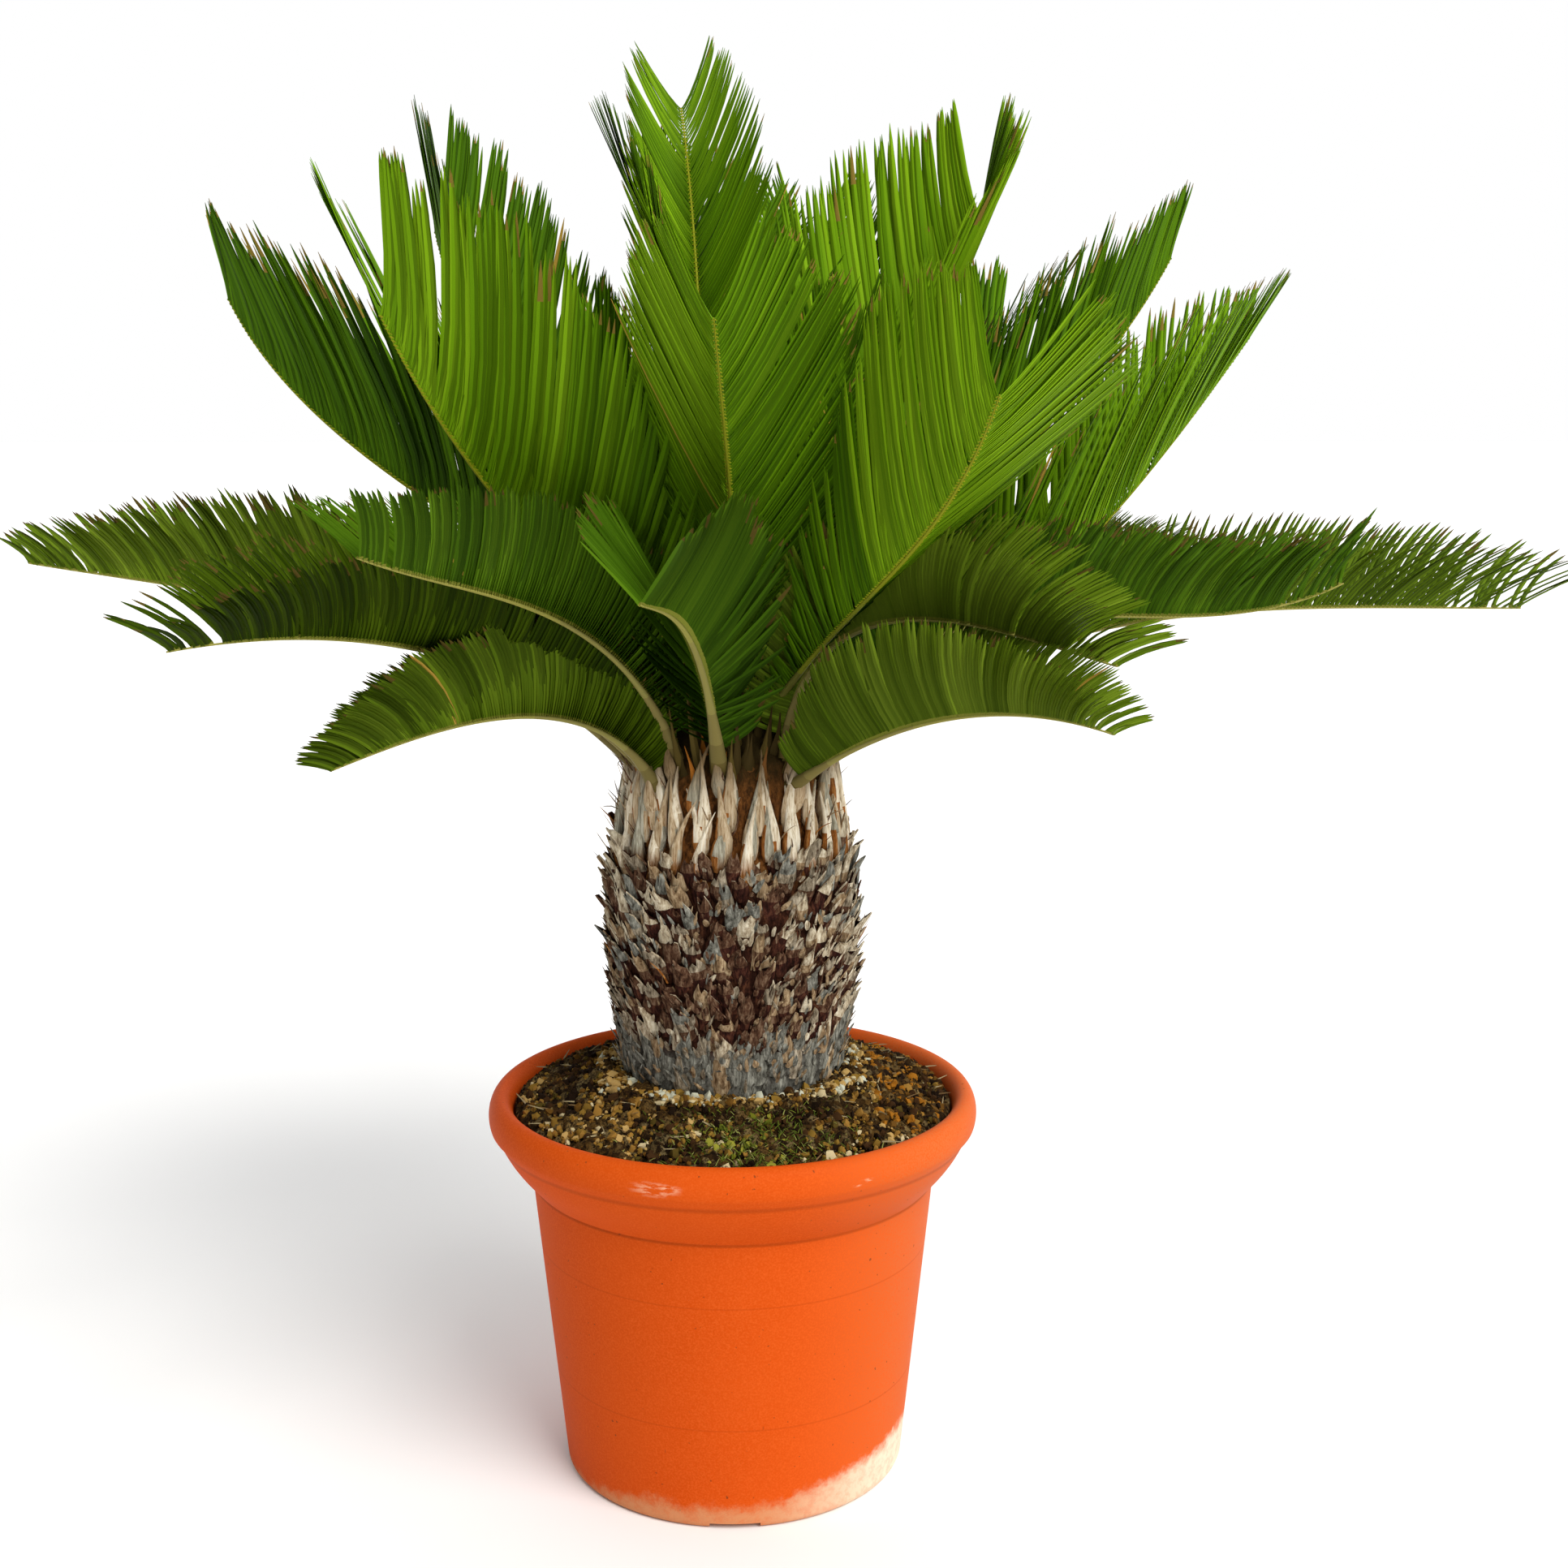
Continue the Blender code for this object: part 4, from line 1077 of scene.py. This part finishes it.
def make_core():
    """The trunk's dark body, behind its old leaf bases: a rolled-up fine grid."""
    bm = bmesh.new()
    bmesh.ops.create_grid(bm, x_segments=CORE_COLUMNS, y_segments=CORE_ROWS, size=1.0)
    low, high = TRUNK_OUTLINE[0][0] - 0.006, TRUNK_OUTLINE[-1][0]
    for vert in bm.verts:
        angle = (vert.co.x + 1.0) * math.pi
        climb = (vert.co.y + 1.0) / 2.0
        if climb <= CORE_BARREL:
            height = low + (high - low) * climb / CORE_BARREL
            radius = float(trunk_radius(height))
            sunk = CORE_SUNK
        else:
            polar = math.radians(DOME_REACH * (1.0 - climb) / (1.0 - CORE_BARREL))
            radius = DOME_RADIUS * math.sin(polar)
            height = DOME_LEVEL + DOME_RADIUS * math.cos(polar)
            sunk = 0.0
        out = Vector((math.cos(angle), math.sin(angle), 0.0))
        place = Vector((math.cos(angle) * radius, math.sin(angle) * radius, height))
        vert.co = place - out * (sunk - relief(place, CORE_LUMPS))
    bmesh.ops.remove_doubles(bm, verts=bm.verts, dist=0.00001)
    bmesh.ops.holes_fill(bm, edges=[edge for edge in bm.edges if edge.is_boundary])
    bmesh.ops.recalc_face_normals(bm, faces=bm.faces)
    mesh = mesh_of(bm, "trunk_core", core_material())
    mesh.shade_smooth()
    placed("trunk_core", mesh, ("trunk",))


def upwards(points):
    """An upright unit vector for each point."""
    up = np.zeros_like(points)
    up[:, 2] = 1.0
    return up


def surface_frame(angle, height):
    """Points and out, round and up axes on the trunk at arrays of angle and height."""
    radius = trunk_radius(height)
    out = np.stack([np.cos(angle), np.sin(angle), 0 * angle], axis=-1)
    around = np.stack([-np.sin(angle), np.cos(angle), 0 * angle], axis=-1)
    up = upwards(out)
    return out * radius[:, None] + up * height[:, None], out, around, up


# Bark tones: cracks, body and ridges of each. The hollow one is near black: painted shade in the
# hollows and at the roots of the leaf bases.
BARK_TONES = {
    "grey_bark": ((0.050, 0.034, 0.021), (0.23, 0.185, 0.125), (0.50, 0.43, 0.32)),
    "cream_bark": ((0.14, 0.090, 0.050), (0.43, 0.355, 0.24), (0.75, 0.68, 0.52)),
    "blue_grey_bark": ((0.040, 0.036, 0.028), (0.155, 0.152, 0.125), (0.36, 0.355, 0.30)),
    "brown_bark": ((0.018, 0.007, 0.004), (0.085, 0.040, 0.022), (0.24, 0.155, 0.095)),
    "hollow": ((0.006, 0.003, 0.002), (0.032, 0.010, 0.007), (0.10, 0.036, 0.020)),
    "wool": ((0.10, 0.030, 0.008), (0.32, 0.110, 0.018), (0.48, 0.25, 0.08)),
    "tan_bark": ((0.070, 0.036, 0.016), (0.25, 0.165, 0.088), (0.50, 0.38, 0.23)),
}
GREY, CREAM, BLUE_GREY, BROWN, HOLLOW, WOOL, TAN = range(7)
# The tone a leaf base has nearer its root: a darker one, painted shade under the bases above it
DEEPER = np.array((BROWN, TAN, GREY, HOLLOW, HOLLOW, BROWN, BROWN))
# Tones of the worn leaf bases and flakes in the band over the soil
WORN_BASES = (BLUE_GREY, BLUE_GREY, BLUE_GREY, BLUE_GREY, GREY, TAN)
WORN_FLAKES = (BLUE_GREY, BLUE_GREY, BLUE_GREY, GREY, TAN)
# How far the roots of these small parts are sunk into the trunk, how ragged their ends
# are, and their lengths, widths and depths. Fibres have a thickness and a length.
BASE_SUNK = 0.0036
BASE_RAGGED = 0.30
BASE_SIZES = ((0.015, 0.024), (0.0044, 0.0074), (0.0022, 0.0036))
FLAKE_COUNT = 1700
FLAKE_SPAN = (0.256, 0.392)
FLAKE_SUNK = 0.0012
FLAKE_RAGGED = 0.15
FLAKE_SIZES = ((0.004, 0.010), (0.0008, 0.0022), (0.0003, 0.0008))
FIBRE_COUNT = 150
FIBRE_SPAN = (0.30, 0.44)
FIBRE_SUNK = 0.001
FIBRE_SIZES = ((0.0004, 0.0008), (0.008, 0.024))
TUFT_COUNT = 50
TUFT_SPAN = (0.395, 0.455)
TUFT_BEARING = math.radians(188)


def bark_material(name, cracks, body, ridges, fineness=420.0, stretch=0.28, ends=()):
    """Streaky bark. Ends are (low, high, colour from low down or from high up) by height."""
    pattern = Pattern(name, body, 0.9, 0.05)
    streaks = pattern.noise(fineness, 4.0, 0.7, (1.0, 1.0, stretch))
    colour = pattern.ramp(streaks, (0.34, cracks), (0.50, body), (0.68, ridges))
    height = pattern.math("MULTIPLY_ADD", streaks, 0.016, pattern.axes()[2])
    for start, end, other in ends:
        dark = tuple(value * 0.4 for value in other)
        colour = pattern.mix(pattern.range(height, start, end), colour,
                             pattern.ramp(streaks, (0.36, dark), (0.62, other)))
    pattern.give("Base Color", colour)
    pattern.bump(streaks, 0.0012, 0.7)
    return pattern.material


def drawn(seeds, count, ranges):
    """Random values for many small parts, from several ranges."""
    return [seeds.uniform(low, high, count) for low, high in ranges]


def strands(root, first, last, curl, sizes, profile, section, tint, ragged=0.0, seeds=None):
    """Tapered strands that leave their root one way and end another. Sizes are their
    lengths, widths and depths. Their ends can be ragged: each side's end is moved along
    by up to that part of the length."""
    length, width, depth = sizes
    places, widths, depths = columns(profile)
    elbow = root + first * (length * 0.5)[:, None]
    tip = elbow + last * (length * 0.5)[:, None]
    path, heading, rise = bent(root, elbow, tip, curl, places)
    across = np.cross(rise, heading) * width[:, None, None] * widths
    up = rise * depth[:, None, None] * depths
    if tint.ndim == 1:
        tint = np.repeat(tint[:, None], len(profile) - 1, axis=1)
    points, faces, tints = loft(path, across, up, section, tint)
    if ragged:
        sides, pairs = len(section), len(section) // 2
        points = points.reshape(len(root), len(profile), sides, 3)
        for station, part in ((-1, 1.0), (-2, 0.5)):
            shift = seeds.uniform(-ragged, ragged, (len(root), pairs)) * length[:, None] * part
            both = np.concatenate([shift, shift[:, ::-1]], axis=1)
            points[:, station] += heading[:, station, None] * both[:, :, None]
        points = points.reshape(-1, 3)
    return points, faces, tints


# Profiles: place, part of the width, part of the depth
POINTED = (
    (0.0, 0.60, 0.7), (0.09, 0.90, 1.0), (0.20, 1.0, 1.0), (0.33, 0.84, 0.9), (0.46, 0.56, 0.7),
    (0.60, 0.35, 0.5), (0.76, 0.21, 0.4), (0.90, 0.12, 0.3), (1.0, 0.05, 0.15),
)
CUPPED = (
    (0.0, 0.70, 0.8), (0.30, 1.0, 1.0), (0.58, 0.90, 1.0), (0.80, 0.66, 0.9), (1.0, 0.30, 0.6),
)
FLAKE = ((0.0, 0.7, 1.0), (0.35, 1.0, 1.0), (0.7, 0.8, 0.8), (1.0, 0.25, 0.5))
FIBRE = ((0.0, 1.0, 1.0), (0.3, 0.9, 0.9), (0.6, 0.7, 0.7), (0.85, 0.5, 0.5), (1.0, 0.15, 0.15))
# A bowed section: three outer sides, an edge, three hollow inner sides and the other edge
BOWED = (
    (1.0, -0.40), (0.40, 0.55), (-0.40, 0.55), (-1.0, -0.40),
    (-0.92, -0.85), (-0.34, 0.05), (0.34, 0.05), (0.92, -0.85),
)
BOWED_EDGES = (3, 7)
BOWED_INSIDE = (4, 5, 6)


# The bearing towards the light, where painted light makes the trunk palest, and the one where it
# stays darkest
PAINTED_LIGHT_BEARING = math.radians(-25.0)
DARK_BEARING = math.radians(-94.0)


def tones_at(angle, height, seeds):
    """Bark tones in soft patches round the trunk, with painted light making them paler on the side
    towards the light.
    """
    patch = np.array([noise.noise(Vector((math.cos(a) * 4.8, math.sin(a) * 4.8, h * 66.0)))
                      for a, h in zip(angle, height)])
    # Painted light: paler towards the light's bearing; also paler towards +X and -X, and darker
    # towards the dark bearing
    pale = 0.16 * np.cos(angle - PAINTED_LIGHT_BEARING) + 0.22 * np.cos(angle) ** 2
    dark = 0.30 * np.clip(np.cos(angle - DARK_BEARING), 0.0, 1.0) ** 6
    patch = patch + pale - dark + seeds.normal(0.0, 0.22, len(angle))
    return np.select([patch < -0.30, patch < -0.12, patch < 0.04, patch < 0.18],
                     [BROWN, TAN, GREY, BLUE_GREY], CREAM)


def cut_bases(seeds):
    """Cut leaf bases in a golden-angle spiral: bowed ragged scales, hollow behind the edge."""
    order = np.arange(BASE_COUNT)
    angle = order * GOLDEN_TURN + seeds.normal(0.0, BASE_STRAY / MEAN_RADIUS, BASE_COUNT)
    low, high = BASE_SPAN
    height = low + (high - low) * (order + 0.5) / BASE_COUNT
    height = height + seeds.normal(0.0, BASE_STRAY, BASE_COUNT)
    base, out, around, up = surface_frame(angle, height)
    worn = np.clip((BAND_TOP - height) / 0.02, 0.0, 1.0)
    lean = seeds.normal(0.0, 0.16, BASE_COUNT)[:, None]
    first = unit(up + out * 0.12 + around * lean)
    jut = seeds.uniform(0.20, 1.00, BASE_COUNT) * (1.0 - 0.8 * worn)
    last = unit(up + out * jut[:, None]
                + around * (lean + seeds.normal(0.0, 0.2, BASE_COUNT)[:, None]))
    tone = tones_at(angle, height, seeds)
    worn_tone = seeds.choice(WORN_BASES, BASE_COUNT)
    tone = np.where(seeds.random(BASE_COUNT) < worn * 1.3, worn_tone, tone)
    tint = np.tile(tone[:, None, None], (1, len(CUPPED) - 1, len(BOWED)))
    upper_part = height[:, None] > BAND_TOP
    rooted = upper_part & (seeds.random((BASE_COUNT, 1)) < 0.65)
    tint[:, 0] = np.where(upper_part, DEEPER[DEEPER[tint[:, 0]]], tint[:, 0])
    tint[:, 1] = np.where(rooted, DEEPER[tint[:, 1]], tint[:, 1])
    tint[:, 2:, BOWED_EDGES] = np.where(seeds.random((BASE_COUNT, 1, 1)) < 0.6, CREAM, TAN)
    # Painted shade: leaf bases away from the light more often have dark roots
    shaded = 0.46 - 0.18 * np.cos(angle - PAINTED_LIGHT_BEARING)
    dark = (seeds.random(BASE_COUNT) < shaded) & (height > BAND_TOP)
    # Painted shade: the hollow inner sides of every leaf base are near black
    tint[:, :, BOWED_INSIDE] = HOLLOW
    tint[dark, 0] = HOLLOW
    tint[dark, 1] = seeds.choice((BROWN, HOLLOW), dark.sum())[:, None]
    return strands(base - out * BASE_SUNK, first, last, out, drawn(seeds, BASE_COUNT, BASE_SIZES),
                   CUPPED, BOWED, tint, BASE_RAGGED, seeds)


def bark_flakes(seeds):
    """Small flakes of bark all over the barrel, worn grey low down."""
    angle = seeds.uniform(0, 2 * np.pi, FLAKE_COUNT)
    height = seeds.uniform(*FLAKE_SPAN, FLAKE_COUNT)
    base, out, around, up = surface_frame(angle, height)
    spin = seeds.normal(0.0, 0.5, FLAKE_COUNT)[:, None]
    first = unit(up + around * spin + out * seeds.uniform(0.2, 0.8, FLAKE_COUNT)[:, None])
    last = unit(up + around * spin * 0.6 + out * seeds.uniform(-0.2, 1.0, FLAKE_COUNT)[:, None])
    tone = np.where(seeds.random(FLAKE_COUNT) < 0.2, BROWN, tones_at(angle, height, seeds))
    tone = np.where(height < BAND_TOP, seeds.choice(WORN_FLAKES, FLAKE_COUNT), tone)
    sizes = drawn(seeds, FLAKE_COUNT, FLAKE_SIZES)
    return strands(base - out * FLAKE_SUNK, first, last, out, sizes, FLAKE, EDGED, tone,
                   FLAKE_RAGGED, seeds)


def bark_fibres(seeds):
    """Loose fibres round the upper trunk, the first of them in a tuft on its left."""
    angle = seeds.uniform(0, 2 * np.pi, FIBRE_COUNT)
    angle[:TUFT_COUNT] = seeds.normal(TUFT_BEARING, 0.22, TUFT_COUNT)
    height = seeds.uniform(*FIBRE_SPAN, FIBRE_COUNT)
    height[:TUFT_COUNT] = seeds.uniform(*TUFT_SPAN, TUFT_COUNT)
    base, out, around, up = surface_frame(angle, height)
    first = unit(out * 0.7 + up + around * seeds.normal(0.0, 0.5, FIBRE_COUNT)[:, None])
    last = unit(out * seeds.uniform(-0.2, 1.2, FIBRE_COUNT)[:, None]
                + up * seeds.normal(0.9, 0.5, FIBRE_COUNT)[:, None]
                + around * seeds.normal(0.0, 0.6, FIBRE_COUNT)[:, None])
    tone = seeds.choice((TAN, TAN, BROWN, BROWN, BROWN, WOOL), FIBRE_COUNT)
    thick, length = drawn(seeds, FIBRE_COUNT, FIBRE_SIZES)
    return strands(base - out * FIBRE_SUNK, first, last, out, (length, thick, thick), FIBRE,
                   EDGED, tone)


def make_leaf_bases():
    """All that covers the barrel, in one piece."""
    seeds = np.random.default_rng(SEED + 5)
    chunks = [cut_bases(seeds), bark_flakes(seeds), bark_fibres(seeds)]
    materials = [bark_material(name, *colours) for name, colours in BARK_TONES.items()]
    joined("leaf_bases", chunks, materials, sharp=50.0)


# Spurs: each row's count and height
SPUR_ROWS = ((30, 0.388), (29, 0.399), (24, 0.411), (18, 0.423))
SPUR_TONES = {
    "pale_spur": ((0.40, 0.29, 0.17), (0.76, 0.66, 0.49), (0.90, 0.85, 0.72)),
    "grey_spur": ((0.15, 0.135, 0.095), (0.34, 0.315, 0.235), (0.56, 0.53, 0.42)),
    "tan_spur": ((0.22, 0.135, 0.060), (0.46, 0.34, 0.205), (0.66, 0.55, 0.39)),
    "woolly_spur": ((0.110, 0.032, 0.008), (0.30, 0.105, 0.022), (0.46, 0.22, 0.070)),
}
PALE_SPUR, GREY_SPUR, TAN_SPUR, WOOLLY_SPUR = range(4)
# How far the root of a spur is sunk into the trunk and how far below its row, and the
# lengths, widths and depths of spurs
SPUR_SUNK = 0.0030
SPUR_DROP = 0.002
SPUR_SIZES = ((0.040, 0.060), (0.0040, 0.0054), (0.0032, 0.0044))
# The sides of a spur's section at one edge, on its face beside that, and at the other edge
EDGE_SIDES = (0, 7)
FACE_SIDE = 1
OTHER_SIDE = 3
# Wool at the spurs' roots, and browner points: the heights between which each comes in
SPUR_ENDS = ((0.409, 0.395, (0.30, 0.115, 0.028)), (0.432, 0.462, (0.27, 0.18, 0.085)))
# A short one stands before the foot of each frond that leaves the trunk this far out.
# Its sizes are a stretch of its length and its width.
SHEATHED_SEAT = 55.0
SHEATH_LIFT = 0.0015
SHEATH_DROP = 0.014
SHEATH_LENGTH = 0.036
SHEATH_DEPTH = 0.0034
SHEATH_SIZES = ((0.85, 1.15), (0.0042, 0.0052))


def sheaths(fronds, seeds):
    """The pointed bases before the fronds' feet."""
    outer = [frond for frond in fronds if frond.seat > SHEATHED_SEAT]
    feet = np.array([rib_line(frond)[1][0] for frond in outer])
    angle = np.arctan2(feet[:, 1], feet[:, 0])
    count = len(outer)
    base, out, around, up = surface_frame(angle, feet[:, 2])
    first = unit(up + out * 0.50)
    last = unit(up - out * 0.30 + around * seeds.normal(0.0, 0.20, count)[:, None])
    tint = seeds.choice((PALE_SPUR, PALE_SPUR, TAN_SPUR, GREY_SPUR), count)
    tint = np.tile(tint[:, None, None], (1, len(POINTED) - 1, len(ROUNDED)))
    tint[:, :3, EDGE_SIDES] = TAN_SPUR
    root = feet + out * SHEATH_LIFT - up * SHEATH_DROP
    stretch, width = drawn(seeds, count, SHEATH_SIZES)
    sizes = (SHEATH_LENGTH * stretch, width, np.full(count, SHEATH_DEPTH))
    return strands(root, first, last, out, sizes, POINTED, ROUNDED, tint)


def make_spurs(fronds):
    """Pointed bases of the last leaves, upright in rows under the crown."""
    seeds = np.random.default_rng(SEED + 7)
    angle, height = [], []
    for row, (around_count, level) in enumerate(SPUR_ROWS):
        turn = (np.arange(around_count) + 0.5 * (row % 2)) / around_count * 2 * np.pi
        angle.append(turn + seeds.normal(0.0, 0.022, around_count))
        height.append(level + seeds.normal(0.0, 0.0026, around_count))
    angle, height = np.concatenate(angle), np.concatenate(height)
    base, out, around, up = surface_frame(angle, height)
    count = len(angle)
    lean = seeds.normal(0.0, 0.07, count)[:, None]
    sway = seeds.normal(0.08, 0.24, count)[:, None]
    first = unit(up + out * 0.10 + around * lean)
    last = unit(up - out * seeds.normal(0.30, 0.12, count)[:, None] + around * sway)
    tone = seeds.choice((PALE_SPUR, PALE_SPUR, PALE_SPUR, GREY_SPUR, TAN_SPUR), count)
    tint = np.tile(tone[:, None, None], (1, len(POINTED) - 1, len(ROUNDED)))
    # One edge of a spur keeps its wool higher up than its face. On the front spurs this is the
    # left edge, away from the light, so its dark wool also stands for painted shade.
    tint[:, :4, EDGE_SIDES] = np.where(seeds.random((count, 1, 1)) < 0.75, WOOLLY_SPUR, TAN_SPUR)
    woolly = seeds.random((count, 1)) < 0.5
    tint[:, :2, FACE_SIDE] = np.where(woolly, WOOLLY_SPUR, tint[:, :2, FACE_SIDE])
    tint[:, :3, OTHER_SIDE] = np.where(seeds.random((count, 1)) < 0.5, TAN_SPUR, GREY_SPUR)
    spurs = strands(base - out * SPUR_SUNK - up * SPUR_DROP, first, last, out,
                    drawn(seeds, count, SPUR_SIZES), POINTED, ROUNDED, tint)
    materials = [bark_material(name, *colours, 700.0, 0.10, SPUR_ENDS)
                 for name, colours in SPUR_TONES.items()]
    joined("spurs", [spurs, sheaths(fronds, seeds)], materials, sharp=50.0)


HEART_COLOURS = (
    (0.045, 0.030, 0.008), (0.085, 0.060, 0.014), (0.13, 0.105, 0.024),
    (0.19, 0.165, 0.045), (0.30, 0.105, 0.014), (0.13, 0.055, 0.014),
)
# Woolly scales and old stems: count, furthest tilt, colours, lengths, widths and depths
HEART_SORTS = (
    (170, 80.0, (0, 0, 0, 1, 1, 5, 5, 4), (0.018, 0.036), (0.0028, 0.0046), (0.0014, 0.0024)),
    (52, 74.0, (0, 0, 1, 1, 2, 5), (0.046, 0.078), (0.0022, 0.0034), (0.0014, 0.0024)),
)
HEART_SUNK = 0.004


def make_crown_heart():
    """Old stems and woolly scales between the fronds, over the dome they all leave from."""
    seeds = np.random.default_rng(SEED + 9)
    chunks = []
    for count, deepest, tones, *ranges in HEART_SORTS:
        seat = np.radians(np.sqrt(seeds.uniform(0.0, 1.0, count)) * deepest)
        angle = seeds.uniform(0, 2 * np.pi, count)
        out = np.stack([np.sin(seat) * np.cos(angle), np.sin(seat) * np.sin(angle),
                        np.cos(seat)], axis=-1)
        up = upwards(out)
        base = np.array([0.0, 0.0, DOME_LEVEL]) + out * (DOME_RADIUS - HEART_SUNK)
        first = unit(out * 0.6 + up)
        last = unit(out * 0.30 + up + seeds.normal(0.0, 0.12, (count, 3)))
        sizes = drawn(seeds, count, ranges)
        tint = seeds.choice(tones, count)
        chunks.append(strands(base, first, last, unit(out - up * 0.6), sizes, POINTED, SIXFOLD,
                              tint))
    joined("crown_heart", chunks, plains("heart", HEART_COLOURS, 0.8, 0.05), sharp=50.0)


# Stage

# The world is white behind the plant and overhead, and dimmer on its left and front
DIM_SIDE = (-1.0, -0.35, 0.0)
DIM_PART = 0.20
SUN_STRENGTH = 2.6
SUN_SPREAD = 35.0
SUN_HEADING = (-0.75, 1.0, -1.25)


def make_stage():
    """A pale floor, and the white world that dims towards one side."""
    bm = bmesh.new()
    bmesh.ops.create_grid(bm, x_segments=1, y_segments=1, size=30.0)
    pale = plain("pale_floor", (0.90, 0.90, 0.90), 0.9, 0.1)
    linked("floor", mesh_of(bm, "floor", pale))
    world = bpy.data.worlds.new("studio")
    world.use_nodes = True
    tree = world.node_tree
    way = new_node(tree, "TexCoord", {}).outputs["Generated"]
    side = new_node(tree, "VectorMath", {0: way, 1: DIM_SIDE}, operation="DOT_PRODUCT")
    given = {"Value": side.outputs["Value"], "To Min": 1.0, "To Max": DIM_PART}
    dim = new_node(tree, "MapRange", given, interpolation_type="SMOOTHSTEP")
    background = tree.nodes["Background"]
    background.inputs["Color"].default_value = (1.0, 1.0, 1.0, 1.0)
    tree.links.new(dim.outputs["Result"], background.inputs["Strength"])
    bpy.context.scene.world = world


def make_lights():
    """One broad soft sun, high in front and to the right."""
    light = bpy.data.lights.new("soft_sun", "SUN")
    light.energy = SUN_STRENGTH
    light.angle = math.radians(SUN_SPREAD)
    light.color = (1.0, 0.98, 0.94)
    lamp = linked("soft_sun", light)
    lamp.rotation_euler = Vector(SUN_HEADING).to_track_quat("-Z", "Y").to_euler()


def make_camera():
    data = bpy.data.cameras.new("camera")
    data.sensor_width = CAMERA_SENSOR
    data.lens = CAMERA_LENS
    camera = linked("camera", data)
    camera.location = CAMERA_PLACE
    camera.rotation_euler = (math.radians(90.0 - CAMERA_PITCH), 0.0, -math.radians(CAMERA_YAW))
    bpy.context.scene.camera = camera
    bpy.context.scene.view_settings.view_transform = "Standard"


def main():
    make_camera()
    make_stage()
    make_lights()
    make_pot()
    make_soil()
    make_grit()
    make_moss()
    make_core()
    make_leaf_bases()
    lower = LOWER_FRONDS + tuple(far_fronds(random.Random(SEED)))
    make_spurs(UPPER_FRONDS + lower)
    make_crown_heart()
    make_fronds(UPPER, UPPER_FRONDS)
    make_fronds(LOWER, lower)


main()
